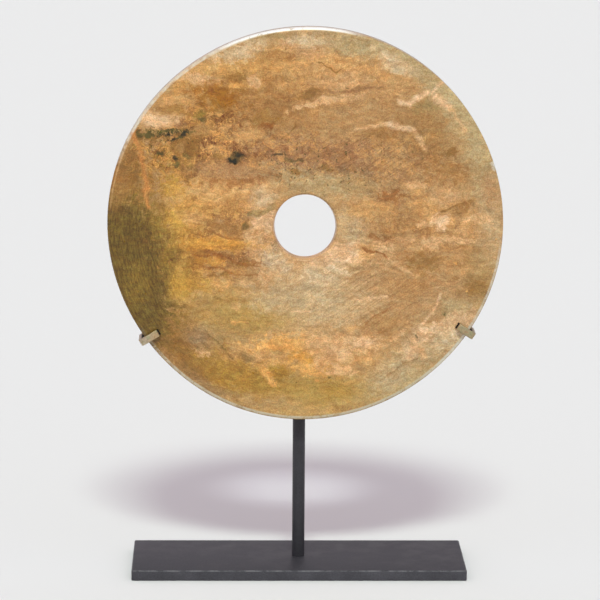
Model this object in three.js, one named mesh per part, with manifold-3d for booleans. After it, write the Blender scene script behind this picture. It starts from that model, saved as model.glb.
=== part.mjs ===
// Jade bi disc on its display stand.
// A hand-cut stone ring stands upright in two lined clips. The clips are the bent ends of one flat
// brass bar, which arches behind the ring and is let into the top of a round steel post. The post
// rises from the middle of a flat steel plate.
// Millimetres, +Z up, front towards -Y. The origin is the centre of the plate's underside.

import * as THREE from 'three';
import { mergeVertices } from 'three/addons/utils/BufferGeometryUtils.js';
import Module from 'manifold-3d';

// Stone disc
const DISC_DIAMETER = 296;
const DISC_THICKNESS = 15;
const DISC_CENTRE_X = 3.5;
const DISC_CENTRE_Z = 269;
const RIM_ROUNDING = 2.2;
const FACE_CROWN = 0.3;
const DISC_SEGMENTS = 128;
const FACE_RINGS = 4;
const EDGE_STEPS = 3;

// Hole through the disc, bored from both faces to a waist in the middle
const HOLE_WAIST_DIAMETER = 46.4;
const HOLE_MOUTH_DIAMETER = 48.2;
const HOLE_EDGE_ROUNDING = 1.2;
const HOLE_SHIFT_X = -0.4;
const HOLE_SHIFT_Z = -1.1;

// Bumps that a hand-cut outline has: how many round the ring, how high, and the first one's angle
const RIM_LOBES = [
  { count: 2, height: 0.34, angle: 61 },
  { count: 3, height: 0.26, angle: 38 },
  { count: 4, height: 0.37, angle: -11 },
];
const HOLE_LOBES = [{ count: 2, height: 0.37, angle: 90 }];

// Base plate
const PLATE_WIDTH = 254;
const PLATE_DEPTH = 89;
const PLATE_THICKNESS = 8;
const PLATE_CORNER_RADIUS = 1.6;
const PLATE_EDGE_BREAK = 0.6;
const PLATE_CURVE_STEPS = 4;

// Post, with a flat filed on its front for the bar
const POST_DIAMETER = 9.5;
const POST_FLAT_DEPTH = 1.55;
const POST_ABOVE_BAR = 3;
const POST_CURVE_STEPS = 20;

// Flat bar behind the disc and its two clips
const BAR_WIDTH = 5.3;
const BAR_THICKNESS = 2.6;
const BAR_EDGE_BREAK = 0.45;
const BAR_BEND_RADIUS = 2.2;
const BAR_ARCH_Z = 215;
const CLIP_LEG_LENGTH = 14;
const BEND_STEPS = 5;
const ARCH_STEPS = 14;

// Dark lining of the clips
const LINER_WIDTH = 4.7;
const LINER_THICKNESS = 1.6;
const LINER_EDGE_BREAK = 0.3;
const LINER_BEND_RADIUS = 1.2;
const LINER_OVERHANG = 1;

// Room between neighbours, and the wider room round the hand-cut rim
const GAP = 0.3;
const RIM_GAP = 0.6;

// Each clip: its side, its angle below level round the rim, its own slope, and how far its tab
// reaches in over the face
const LEFT_CLIP = { side: -1, angle: 36, slope: 31.4, reach: 10.6 };
const RIGHT_CLIP = { side: 1, angle: 33.4, slope: 33.4, reach: 9.6 };

// Depths worked out from the sizes above
const POST_RADIUS = POST_DIAMETER / 2;
const POST_FLAT_Y = POST_FLAT_DEPTH - POST_RADIUS;
const LINER_OFFSET = DISC_THICKNESS / 2 + GAP + LINER_THICKNESS / 2;
const BAR_OFFSET = LINER_OFFSET + LINER_THICKNESS / 2 + GAP + BAR_THICKNESS / 2;
const DISC_CENTRE_Y = POST_FLAT_Y - GAP - BAR_THICKNESS / 2 - BAR_OFFSET;

const stone = new THREE.MeshStandardMaterial({ color: 0xb3935f, roughness: 0.3, metalness: 0 });
const blackSteel = new THREE.MeshStandardMaterial({ color: 0x4c4b50, roughness: 0.6, metalness: 0.2 });
const brass = new THREE.MeshStandardMaterial({ color: 0x93835c, roughness: 0.45, metalness: 0.8 });
const darkLining = new THREE.MeshStandardMaterial({ color: 0x1d1a17, roughness: 0.9, metalness: 0 });

// A path of straight runs and bends. Each run has its own number of steps, so tight bends are
// stepped finely and straight runs take one step.
class BarPath extends THREE.Curve {
  constructor(runs) {
    super();
    this.runs = runs;
    this.steps = runs.reduce((sum, run) => sum + run.steps, 0);
  }

  // The run that a fraction of the path falls in, and the fraction along that run
  locate(t) {
    let step = t * this.steps;
    let index = 0;
    while (index < this.runs.length - 1 && step >= this.runs[index].steps) {
      step -= this.runs[index].steps;
      index += 1;
    }
    const { curve, steps } = this.runs[index];
    return { curve, fraction: Math.min(step / steps, 1) };
  }

  getPoint(t) {
    const { curve, fraction } = this.locate(t);
    return curve.getPoint(fraction);
  }

  getPointAt(t) {
    return this.getPoint(t);
  }

  getTangent(t) {
    const { curve, fraction } = this.locate(t);
    return curve.getTangent(fraction);
  }

  getTangentAt(t) {
    return this.getTangent(t);
  }
}

function lobedRadius(radius, lobes, angle) {
  return lobes.reduce((sum, lobe) => {
    const first = THREE.MathUtils.degToRad(lobe.angle);
    return sum + lobe.height * Math.cos(lobe.count * (angle - first));
  }, radius);
}

// The disc's section from the waist of the hole round the front face, rim and back face to the
// waist again, with x the distance from the axis and y along it.
function discSection() {
  const half = DISC_THICKNESS / 2;
  const edge = half - FACE_CROWN;
  const peak = half + FACE_CROWN;
  const waist = HOLE_WAIST_DIAMETER / 2;
  const mouth = HOLE_MOUTH_DIAMETER / 2;
  const rim = DISC_DIAMETER / 2;
  const faceStart = mouth + HOLE_EDGE_ROUNDING;
  const faceEnd = rim - RIM_ROUNDING;
  const faceMiddle = (faceStart + faceEnd) / 2;

  const front = new THREE.Path();
  front.moveTo(waist, 0);
  front.lineTo(mouth, HOLE_EDGE_ROUNDING - edge);
  front.quadraticCurveTo(mouth, -edge, faceStart, -edge);
  const hole = front.getPoints(EDGE_STEPS);
  const face = new THREE.QuadraticBezierCurve(
    new THREE.Vector2(faceStart, -edge),
    new THREE.Vector2(faceMiddle, -peak),
    new THREE.Vector2(faceEnd, -edge),
  ).getPoints(FACE_RINGS);
  const corner = new THREE.QuadraticBezierCurve(
    new THREE.Vector2(faceEnd, -edge),
    new THREE.Vector2(rim, -edge),
    new THREE.Vector2(rim, RIM_ROUNDING - edge),
  ).getPoints(EDGE_STEPS);

  const frontHalf = [...hole, ...face.slice(1), ...corner.slice(1)];
  const backHalf = frontHalf.map((point) => new THREE.Vector2(point.x, -point.y)).reverse();
  return [...frontHalf, ...backHalf];
}

// The turned ring with its rim and hole pushed to their hand-cut outlines, more the nearer a
// point is to either.
function discGeometry() {
  const geometry = new THREE.LatheGeometry(discSection(), DISC_SEGMENTS);
  const position = geometry.attributes.position;
  const waist = HOLE_WAIST_DIAMETER / 2;
  const rim = DISC_DIAMETER / 2;
  for (let i = 0; i < position.count; i += 1) {
    const x = position.getX(i);
    const z = position.getZ(i);
    const radius = Math.hypot(x, z);
    const angle = Math.atan2(z, x);
    const outward = (radius - waist) / (rim - waist);
    const inward = 1 - outward;
    const rimPush = lobedRadius(0, RIM_LOBES, angle) * outward;
    const holePush = lobedRadius(0, HOLE_LOBES, angle) * inward;
    const scale = (radius + rimPush + holePush) / radius;
    position.setX(i, x * scale + HOLE_SHIFT_X * inward);
    position.setZ(i, z * scale + HOLE_SHIFT_Z * inward);
  }
  return geometry;
}

function plateGeometry() {
  const halfWidth = PLATE_WIDTH / 2 - PLATE_EDGE_BREAK;
  const halfDepth = PLATE_DEPTH / 2 - PLATE_EDGE_BREAK;
  const radius = PLATE_CORNER_RADIUS - PLATE_EDGE_BREAK;
  const outline = new THREE.Shape();
  outline.moveTo(radius - halfWidth, -halfDepth);
  outline.lineTo(halfWidth - radius, -halfDepth);
  outline.absarc(halfWidth - radius, radius - halfDepth, radius, -Math.PI / 2, 0);
  outline.absarc(halfWidth - radius, halfDepth - radius, radius, 0, Math.PI / 2);
  outline.absarc(radius - halfWidth, halfDepth - radius, radius, Math.PI / 2, Math.PI);
  outline.absarc(radius - halfWidth, radius - halfDepth, radius, Math.PI, 1.5 * Math.PI);
  const geometry = new THREE.ExtrudeGeometry(outline, {
    depth: PLATE_THICKNESS - 2 * PLATE_EDGE_BREAK,
    bevelEnabled: true,
    bevelSize: PLATE_EDGE_BREAK,
    bevelThickness: PLATE_EDGE_BREAK,
    bevelSegments: 1,
    curveSegments: PLATE_CURVE_STEPS,
  });
  return geometry.translate(0, 0, PLATE_EDGE_BREAK);
}

const wasm = await Module();
wasm.setup();

function toSolid(geometry) {
  const bare = geometry.clone();
  bare.deleteAttribute('normal');
  bare.deleteAttribute('uv');
  const merged = mergeVertices(bare);
  return new wasm.Manifold(new wasm.Mesh({
    numProp: 3,
    vertProperties: new Float32Array(merged.attributes.position.array),
    triVerts: new Uint32Array(merged.index.array),
  }));
}

function toGeometry(solid) {
  const mesh = solid.getMesh();
  const geometry = new THREE.BufferGeometry();
  geometry.setAttribute('position', new THREE.BufferAttribute(mesh.vertProperties, 3));
  geometry.setIndex(new THREE.BufferAttribute(mesh.triVerts, 1));
  geometry.computeVertexNormals();
  return geometry;
}

// A round post from the plate up, cut back to a flat at its upper front where the bar lies.
function postGeometry() {
  const height = BAR_ARCH_Z + BAR_WIDTH / 2 + POST_ABOVE_BAR - PLATE_THICKNESS;
  const ledge = BAR_ARCH_Z - BAR_WIDTH / 2 - GAP - PLATE_THICKNESS;
  const section = new THREE.Shape().absarc(0, 0, POST_RADIUS, 0, 2 * Math.PI);
  const round = new THREE.ExtrudeGeometry(section, {
    depth: height,
    bevelEnabled: false,
    curveSegments: POST_CURVE_STEPS,
  });
  const cutter = new THREE.BoxGeometry(2 * POST_DIAMETER, POST_DIAMETER, POST_DIAMETER * 2);
  cutter.translate(0, POST_FLAT_Y - POST_DIAMETER / 2, ledge + POST_DIAMETER);
  return toGeometry(toSolid(round).subtract(toSolid(cutter)));
}

// The section of a flat strip with its four edges broken, thickness along x and width along y.
function stripSection(thickness, width, edgeBreak) {
  const x = thickness / 2;
  const y = width / 2;
  return new THREE.Shape([
    new THREE.Vector2(x, edgeBreak - y),
    new THREE.Vector2(x, y - edgeBreak),
    new THREE.Vector2(x - edgeBreak, y),
    new THREE.Vector2(edgeBreak - x, y),
    new THREE.Vector2(-x, y - edgeBreak),
    new THREE.Vector2(-x, edgeBreak - y),
    new THREE.Vector2(edgeBreak - x, -y),
    new THREE.Vector2(x - edgeBreak, -y),
  ]);
}

// A point of a clip: a distance out from the rim along the clip's slope, and a depth from the
// middle of the disc.
function clipPoint(clip, out, depth) {
  const angle = THREE.MathUtils.degToRad(clip.side > 0 ? -clip.angle : 180 + clip.angle);
  const slope = THREE.MathUtils.degToRad(clip.slope);
  const radius = lobedRadius(DISC_DIAMETER / 2, RIM_LOBES, angle);
  const x = DISC_CENTRE_X + radius * Math.cos(angle) + clip.side * out * Math.cos(slope);
  const z = DISC_CENTRE_Z + radius * Math.sin(angle) - out * Math.sin(slope);
  return new THREE.Vector3(x, DISC_CENTRE_Y + depth, z);
}

// The runs of a strip that hooks round the rim, from the end of its front tab to the end of its
// back leg: tab, bend, web, bend, leg.
function hookRuns(clip, offset, web, tabReach, legReach, bend) {
  const tabEnd = clipPoint(clip, -tabReach, -offset);
  const frontBendStart = clipPoint(clip, web - bend, -offset);
  const frontCorner = clipPoint(clip, web, -offset);
  const frontBendEnd = clipPoint(clip, web, bend - offset);
  const backBendStart = clipPoint(clip, web, offset - bend);
  const backCorner = clipPoint(clip, web, offset);
  const backBendEnd = clipPoint(clip, web - bend, offset);
  const legEnd = clipPoint(clip, -legReach, offset);
  return [
    { curve: new THREE.LineCurve3(tabEnd, frontBendStart), steps: 1 },
    { curve: new THREE.QuadraticBezierCurve3(frontBendStart, frontCorner, frontBendEnd), steps: BEND_STEPS },
    { curve: new THREE.LineCurve3(frontBendEnd, backBendStart), steps: 1 },
    { curve: new THREE.QuadraticBezierCurve3(backBendStart, backCorner, backBendEnd), steps: BEND_STEPS },
    { curve: new THREE.LineCurve3(backBendEnd, legEnd), steps: 1 },
  ];
}

function reversedRuns(runs) {
  return runs.toReversed().map(({ curve, steps }) => {
    if (curve.isLineCurve3) {
      return { curve: new THREE.LineCurve3(curve.v2, curve.v1), steps };
    }
    return { curve: new THREE.QuadraticBezierCurve3(curve.v2, curve.v1, curve.v0), steps };
  });
}

// Half of the arch, from the end of a clip's leg to the post, leaving the leg along its slope and
// meeting the post level.
function archRun(clip) {
  const start = clipPoint(clip, -CLIP_LEG_LENGTH, BAR_OFFSET);
  const rise = BAR_ARCH_Z - start.z;
  const run = rise / Math.tan(THREE.MathUtils.degToRad(clip.slope));
  const bend = new THREE.Vector3(start.x - clip.side * run, start.y, BAR_ARCH_Z);
  const crown = new THREE.Vector3(0, start.y, BAR_ARCH_Z);
  return { curve: new THREE.QuadraticBezierCurve3(start, bend, crown), steps: ARCH_STEPS };
}

function strip(section, runs) {
  const path = new BarPath(runs);
  return new THREE.ExtrudeGeometry(section, { steps: path.steps, extrudePath: path });
}

function barGeometry() {
  const web = RIM_GAP + LINER_THICKNESS + GAP + BAR_THICKNESS / 2;
  const hook = (clip) => hookRuns(clip, BAR_OFFSET, web, clip.reach, CLIP_LEG_LENGTH, BAR_BEND_RADIUS);
  const leftHalf = [...hook(LEFT_CLIP), archRun(LEFT_CLIP)];
  const rightHalf = [...hook(RIGHT_CLIP), archRun(RIGHT_CLIP)];
  const section = stripSection(BAR_THICKNESS, BAR_WIDTH, BAR_EDGE_BREAK);
  return strip(section, [...leftHalf, ...reversedRuns(rightHalf)]);
}

function linerGeometry(clip) {
  const web = RIM_GAP + LINER_THICKNESS / 2;
  const reach = clip.reach + LINER_OVERHANG;
  const section = stripSection(LINER_THICKNESS, LINER_WIDTH, LINER_EDGE_BREAK);
  return strip(section, hookRuns(clip, LINER_OFFSET, web, reach, reach, LINER_BEND_RADIUS));
}

function named(name, geometry, material) {
  const mesh = new THREE.Mesh(geometry, material);
  mesh.name = name;
  return mesh;
}

const disc = named('jade_disc', discGeometry(), stone);
disc.position.set(DISC_CENTRE_X, DISC_CENTRE_Y, DISC_CENTRE_Z);

const post = named('post', postGeometry(), blackSteel);
post.position.z = PLATE_THICKNESS;

const stand = new THREE.Group();
stand.add(named('base_plate', plateGeometry(), blackSteel));
stand.add(post);
stand.add(named('clip_bar', barGeometry(), brass));
stand.add(named('clip_liner_left', linerGeometry(LEFT_CLIP), darkLining));
stand.add(named('clip_liner_right', linerGeometry(RIGHT_CLIP), darkLining));

const biDisc = new THREE.Group();
biDisc.add(disc);
biDisc.add(stand);

export default biDisc;
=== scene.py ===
# %% [markdown]
# # A jade bi disc on its stand
#
# This lesson dresses a stone ring and its steel stand. The solids come first and fix every size and
# place. Each piece is then modelled again with a finer surface, in metres and in the same frame, so
# nothing has to be moved to fit.

# %% Load the solids
import math

import bmesh
import bpy
from mathutils import Matrix, Vector, noise


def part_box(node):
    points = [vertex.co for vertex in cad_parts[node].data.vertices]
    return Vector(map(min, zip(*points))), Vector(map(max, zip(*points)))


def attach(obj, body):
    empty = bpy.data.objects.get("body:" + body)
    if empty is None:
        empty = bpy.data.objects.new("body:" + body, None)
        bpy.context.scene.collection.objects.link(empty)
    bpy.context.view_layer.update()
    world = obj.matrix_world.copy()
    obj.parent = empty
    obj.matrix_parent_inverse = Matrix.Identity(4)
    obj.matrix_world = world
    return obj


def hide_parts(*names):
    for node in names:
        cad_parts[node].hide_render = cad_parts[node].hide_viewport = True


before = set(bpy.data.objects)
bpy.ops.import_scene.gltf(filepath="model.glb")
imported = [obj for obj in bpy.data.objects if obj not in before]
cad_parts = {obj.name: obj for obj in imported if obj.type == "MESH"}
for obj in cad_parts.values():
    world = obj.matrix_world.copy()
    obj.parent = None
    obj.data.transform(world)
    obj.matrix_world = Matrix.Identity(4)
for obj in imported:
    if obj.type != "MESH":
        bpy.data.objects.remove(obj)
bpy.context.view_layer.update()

MM = 0.001

# %% [markdown]
# ## The camera
#
# The photograph was taken from far away with a long lens, a little above the disc and a little to its
# left. The plate's corners give the distance and the tilt. A camera helper that frames the object would
# miss the slight roll, so the camera is turned by three plain rotations.

# %% Camera
CAMERA_PLACE = Vector((-0.0559, -2.3859, 0.6625))
CAMERA_YAW = math.radians(-1.346)
CAMERA_PITCH = math.radians(10.783)
CAMERA_ROLL = math.radians(0.38)
FOCAL_PIXELS = 3203.9
FRAME_PIXELS = 600
SENSOR_WIDTH = 36.0
CLIP_END = 100.0

lens = bpy.data.cameras.new("camera")
lens.sensor_width = SENSOR_WIDTH
lens.lens = FOCAL_PIXELS / FRAME_PIXELS * SENSOR_WIDTH
lens.clip_end = CLIP_END
camera = bpy.data.objects.new("camera", lens)
bpy.context.scene.collection.objects.link(camera)
turn = Matrix.Rotation(CAMERA_YAW, 4, "Z")
tip = Matrix.Rotation(math.pi / 2 - CAMERA_PITCH, 4, "X")
roll = Matrix.Rotation(CAMERA_ROLL, 4, "Z")
camera.matrix_world = Matrix.Translation(CAMERA_PLACE) @ turn @ tip @ roll
bpy.context.scene.camera = camera
print("lens:", round(lens.lens, 1), "mm")

# %% [markdown]
# ## Node helpers
#
# Every finish below is a tree of shader nodes. Small helpers keep the trees short: one adds a node and
# feeds its inputs from sockets or plain values, and the others do one step of arithmetic, mix two
# colours, make a noise, spread a value over a new range, or start a group or a material.

# %% Node helpers
def node(tree, kind, inputs=None, **settings):
    made = tree.nodes.new("ShaderNode" + kind)
    for name, value in settings.items():
        setattr(made, name, value)
    for key, value in (inputs or {}).items():
        if isinstance(value, bpy.types.NodeSocket):
            tree.links.new(value, made.inputs[key])
        else:
            made.inputs[key].default_value = value
    return made


def calc(tree, operation, first, second=0.0):
    return node(tree, "Math", {0: first, 1: second}, operation=operation).outputs[0]


def blend(tree, factor, below, above, mode="MIX"):
    inputs = {0: factor, 6: below, 7: above}
    return node(tree, "Mix", inputs, data_type="RGBA", blend_type=mode).outputs[2]


def fractal(tree, vector, scale, detail=3.0, roughness=0.55):
    inputs = {"Vector": vector, "Scale": scale, "Detail": detail, "Roughness": roughness}
    return node(tree, "TexNoise", inputs)


def spread(tree, value, low, high, to_low=0.0, to_high=1.0):
    inputs = {0: value, 1: low, 2: high, 3: to_low, 4: to_high}
    return node(tree, "MapRange", inputs, interpolation_type="SMOOTHSTEP", clamp=False).outputs[0]


def new_group(name, inputs, outputs):
    group = bpy.data.node_groups.new(name, "ShaderNodeTree")
    for label, kind, value in inputs:
        socket = group.interface.new_socket(label, in_out="INPUT", socket_type="NodeSocket" + kind)
        if value is not None:
            socket.default_value = value
    for label, kind in outputs:
        group.interface.new_socket(label, in_out="OUTPUT", socket_type="NodeSocket" + kind)
    source = group.nodes.new("NodeGroupInput").outputs
    result = group.nodes.new("NodeGroupOutput").inputs
    return group, source, result


def new_material(name):
    material = bpy.data.materials.new(name)
    material.use_nodes = True
    tree = material.node_tree
    return material, tree, tree.nodes["Principled BSDF"]


def linear(red, green, blue):
    """A screen colour, 0 to 255, as the linear colour that a shader takes."""
    def channel(value):
        share = value / 255
        return share / 12.92 if share <= 0.04045 else ((share + 0.055) / 1.055) ** 2.4
    return (channel(red), channel(green), channel(blue), 1.0)


print("helpers ready")

# %% [markdown]
# ## The light
#
# A wide, low softbox in front throws the ring-shaped shadow behind the plate, and an even fill opens
# that shadow up. Both are painted on the sky, which is endlessly far away, so the floor stays evenly
# bright right to the edge of the picture.

# %% World
FLOOR_TONE = 0.80
FILL_LEVEL = 0.625
FILL_TINT = (1.045, 0.951, 1.035)
SOFTBOX_LEVEL = 65.3
SOFTBOX_TINT = (0.936, 1.075, 0.96)
SOFTBOX_ELEVATION = math.radians(47.0)
SOFTBOX_HALF_WIDTH = math.radians(6.0)
SOFTBOX_HALF_HEIGHT = math.radians(3.8)
SOFTBOX_EDGE = 0.2
BACKDROP_LEVEL = 0.83
NEARLY_ZERO = 0.01

world = bpy.data.worlds.new("studio")
world.use_nodes = True
bpy.context.scene.world = world
sky = world.node_tree
sky_ray = node(sky, "TexCoord").outputs["Generated"]
to_box = Vector((0, -math.cos(SOFTBOX_ELEVATION), math.sin(SOFTBOX_ELEVATION)))
box_up = Vector((0, math.sin(SOFTBOX_ELEVATION), math.cos(SOFTBOX_ELEVATION)))


def along(direction):
    return node(sky, "VectorMath", {0: sky_ray, 1: direction}, operation="DOT_PRODUCT").outputs["Value"]


def inside(offset, half):
    share = calc(sky, "DIVIDE", calc(sky, "ABSOLUTE", offset), math.tan(half))
    return spread(sky, share, 1 - SOFTBOX_EDGE, 1 + SOFTBOX_EDGE, 1.0, 0.0)


depth = calc(sky, "MAXIMUM", along(to_box), NEARLY_ZERO)
across = inside(calc(sky, "DIVIDE", along(Vector((1, 0, 0))), depth), SOFTBOX_HALF_WIDTH)
upward = inside(calc(sky, "DIVIDE", along(box_up), depth), SOFTBOX_HALF_HEIGHT)
box_mask = calc(sky, "MULTIPLY", across, upward)
fill_colour = tuple(FILL_LEVEL * share for share in FILL_TINT) + (1.0,)
box_colour = tuple(SOFTBOX_LEVEL * share for share in SOFTBOX_TINT) + (1.0,)
backdrop_colour = (BACKDROP_LEVEL, BACKDROP_LEVEL, BACKDROP_LEVEL, 1.0)
lit_sky = blend(sky, box_mask, fill_colour, box_colour)
seen_sky = blend(sky, node(sky, "LightPath").outputs["Is Camera Ray"], lit_sky, backdrop_colour)
sky.links.new(seen_sky, sky.nodes["Background"].inputs["Color"])
bpy.context.scene.view_settings.view_transform = "Standard"
print("softbox at", round(math.degrees(SOFTBOX_ELEVATION), 1), "degrees")

# %% [markdown]
# The middle of the ring's shadow is brighter than the softbox alone makes it, as if more light came
# through the hole. A small spotlight straight above that place adds the rest. It is behind the disc and
# shines only on the floor.

# %% Spotlight in the shadow
SPOT_PLACE = Vector((0.0, 0.243, 0.5))
SPOT_TINT = (0.94, 1.0, 1.07)
SPOT_ANGLE = math.radians(19)
SPOT_BLEND = 1.0
SPOT_POWER = 1.7
SPOT_RADIUS = 0.01

spot_data = bpy.data.lights.new("shadow_spot", "SPOT")
spot_data.energy = SPOT_POWER
spot_data.color = SPOT_TINT
spot_data.spot_size = SPOT_ANGLE
spot_data.spot_blend = SPOT_BLEND
spot_data.shadow_soft_size = SPOT_RADIUS
spot = bpy.data.objects.new("shadow_spot", spot_data)
spot.location = SPOT_PLACE
spot.visible_camera = False
spot.visible_glossy = False
bpy.context.scene.collection.objects.link(spot)
print("spotlight:", SPOT_POWER, "W")

# %% [markdown]
# The floor is one wide pale sheet with no gloss at all. It belongs to the studio and not to the object.

# %% Floor
FLOOR_HALF = 30.0

floor_paint, floor_tree, floor_shader = new_material("floor_paint")
floor_shader.inputs["Base Color"].default_value = (FLOOR_TONE, FLOOR_TONE, FLOOR_TONE, 1.0)
floor_shader.inputs["Roughness"].default_value = 1.0
floor_shader.inputs["Specular IOR Level"].default_value = 0.0
floor_mesh = bmesh.new()
bmesh.ops.create_grid(floor_mesh, x_segments=1, y_segments=1, size=FLOOR_HALF)
floor_data = bpy.data.meshes.new("floor")
floor_mesh.to_mesh(floor_data)
floor_mesh.free()
floor_data.materials.append(floor_paint)
floor = bpy.data.objects.new("floor", floor_data)
bpy.context.scene.collection.objects.link(floor)
print("floor:", 2 * FLOOR_HALF, "m square")

# %% [markdown]
# ## Stone markings
#
# The stone is one block, and its clouds, veins and specks run right through it. Each marking the eye
# can pick out is a soft-edged patch or a thin line at its own place on the disc, in millimetres from
# the disc's middle, x to the right and z up. A node group paints one marking over the colour below it,
# so the whole stone is a chain of these groups. The shared place they read has been stirred by noise,
# which is what makes their edges ragged.

# %% Patch group
PATCH_INPUTS = [
    ("Place", "Vector", None),
    ("Stir", "Float", 0.0),
    ("Middle", "Vector", None),
    ("Reach", "Vector", (1.0, 1.0, 1.0)),
    ("Tilt", "Float", 0.0),
    ("Crisp", "Float", 2.0),
    ("Ragged", "Float", 0.3),
    ("Strength", "Float", 1.0),
]
PAINT_INPUTS = [("Below", "Color", None), ("Colour", "Color", None)]


def vector_step(tree, operation, first, second=(0.0, 0.0, 0.0)):
    return node(tree, "VectorMath", {0: first, 1: second}, operation=operation)


def patch_share(tree, sockets):
    offset = vector_step(tree, "SUBTRACT", sockets["Place"], sockets["Middle"])
    turned = node(
        tree, "VectorRotate", {"Vector": offset.outputs[0], "Angle": sockets["Tilt"]}, rotation_type="Y_AXIS",
    )
    shares = vector_step(tree, "DIVIDE", turned.outputs[0], sockets["Reach"])
    reach = vector_step(tree, "LENGTH", shares.outputs[0]).outputs["Value"]
    edge = node(
        tree, "Math", {0: sockets["Stir"], 1: sockets["Ragged"], 2: reach}, operation="MULTIPLY_ADD",
    ).outputs[0]
    outward = calc(tree, "MULTIPLY", calc(tree, "SUBTRACT", edge, 1.0), sockets["Crisp"])
    return calc(tree, "MULTIPLY", spread(tree, outward, -1.0, 1.0, 1.0, 0.0), sockets["Strength"])


patch_group, patch_in, patch_out = new_group(
    "stone_patch", PATCH_INPUTS + PAINT_INPUTS, [("Colour", "Color")],
)
painted = blend(patch_group, patch_share(patch_group, patch_in), patch_in["Below"], patch_in["Colour"])
patch_group.links.new(painted, patch_out["Colour"])
region_group, region_in, region_out = new_group("stone_region", PATCH_INPUTS, [("Mask", "Float")])
region_group.links.new(patch_share(region_group, region_in), region_out["Mask"])
print("patch group:", len(patch_group.nodes), "nodes")

# %% [markdown]
# A line is painted by the distance from a straight stretch between two points. A dot product gives the
# nearest place on that stretch, and a clamp keeps it between the ends.

# %% Line group
LINE_FADE = 1.3
LINE_RAGGED = 0.22

line_group, line_in, line_out = new_group(
    "stone_line",
    [
        ("Place", "Vector", None),
        ("Stir", "Float", 0.0),
        ("Below", "Color", None),
        ("Colour", "Color", None),
        ("Start", "Vector", None),
        ("End", "Vector", None),
        ("Width", "Float", 1.0),
        ("Ragged", "Float", LINE_RAGGED),
        ("Strength", "Float", 1.0),
    ],
    [("Colour", "Color")],
)
flat_place = vector_step(line_group, "MULTIPLY", line_in["Place"], (1.0, 0.0, 1.0)).outputs[0]
from_start = vector_step(line_group, "SUBTRACT", flat_place, line_in["Start"]).outputs[0]
whole = vector_step(line_group, "SUBTRACT", line_in["End"], line_in["Start"]).outputs[0]
covered = vector_step(line_group, "DOT_PRODUCT", from_start, whole).outputs["Value"]
full = vector_step(line_group, "DOT_PRODUCT", whole, whole).outputs["Value"]
stretch = node(line_group, "Clamp", {"Value": calc(line_group, "DIVIDE", covered, full)}).outputs[0]
nearest = node(line_group, "VectorMath", {0: whole, "Scale": stretch}, operation="SCALE").outputs[0]
gap = vector_step(line_group, "DISTANCE", from_start, nearest).outputs["Value"]
line_edge = node(
    line_group, "Math",
    {0: line_in["Stir"], 1: line_in["Ragged"], 2: calc(line_group, "DIVIDE", gap, line_in["Width"])},
    operation="MULTIPLY_ADD",
).outputs[0]
line_fade = spread(line_group, line_edge, 0.0, LINE_FADE, 1.0, 0.0)
line_share = calc(line_group, "MULTIPLY", line_fade, line_in["Strength"])
line_colour = blend(line_group, line_share, line_in["Below"], line_in["Colour"])
line_group.links.new(line_colour, line_out["Colour"])
print("line group:", len(line_group.nodes), "nodes")

# %% [markdown]
# The palette holds the stone's colours as they look in even light. A polished face also mirrors a
# little of the bright floor, and the light on it isn't quite one, so each colour is taken down by that
# gloss and divided by the light before it becomes a pigment.

# %% Palette
GLOSS_ON_FACE = 0.026
LIGHT_ON_FACE = (1.02, 1.05, 1.06)
DARKEST = 0.004


def pigment(red, green, blue):
    seen = linear(red, green, blue)
    shares = [(share - GLOSS_ON_FACE) / light for share, light in zip(seen, LIGHT_ON_FACE)]
    return tuple(max(DARKEST, share) for share in shares) + (1.0,)


STONE = {
    "ground": pigment(188, 149, 102),
    "clay": pigment(186, 146, 101),
    "moss_black": pigment(54, 56, 42),
    "moss": pigment(92, 86, 54),
    "olive": pigment(114, 92, 53),
    "olive_green": pigment(147, 119, 61),
    "olive_yellow": pigment(178, 144, 82),
    "sage": pigment(164, 136, 90),
    "gold_olive": pigment(170, 130, 63),
    "pale_grey": pigment(199, 174, 134),
    "ash": pigment(154, 128, 97),
    "deep_orange": pigment(216, 158, 78),
    "umber": pigment(148, 109, 62),
    "brown": pigment(168, 124, 76),
    "red_brown": pigment(150, 98, 58),
    "mauve": pigment(173, 132, 92),
    "mauve_dark": pigment(142, 102, 72),
    "amber": pigment(160, 107, 46),
    "ochre": pigment(208, 158, 92),
    "yellow_ochre": pigment(206, 160, 78),
    "orange": pigment(221, 166, 98),
    "orange_tan": pigment(211, 163, 106),
    "fissure": pigment(200, 138, 80),
    "tan": pigment(191, 156, 112),
    "buff": pigment(197, 168, 126),
    "grey_green": pigment(186, 163, 120),
    "cream": pigment(218, 174, 125),
    "pale": pigment(230, 190, 147),
    "milk": pigment(216, 189, 150),
    "thread_dark": pigment(110, 64, 40),
    "thread_light": pigment(222, 164, 96),
    # The next three colours are painted highlights and painted light on the rim.
    "rim_white_highlight": pigment(250, 250, 246),
    "rim_pale": pigment(224, 221, 206),
    "rim_green_painted_light": pigment(206, 201, 178),
    "rim_line": pigment(134, 114, 78),
}
print("palette:", len(STONE), "colours")

# %% [markdown]
# The broad zones come first. Their edges are so soft that they only set the mood of each part of the
# disc. A row says: colour, middle x and z, half length, half height, tilt, softness, raggedness and
# strength.

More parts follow.
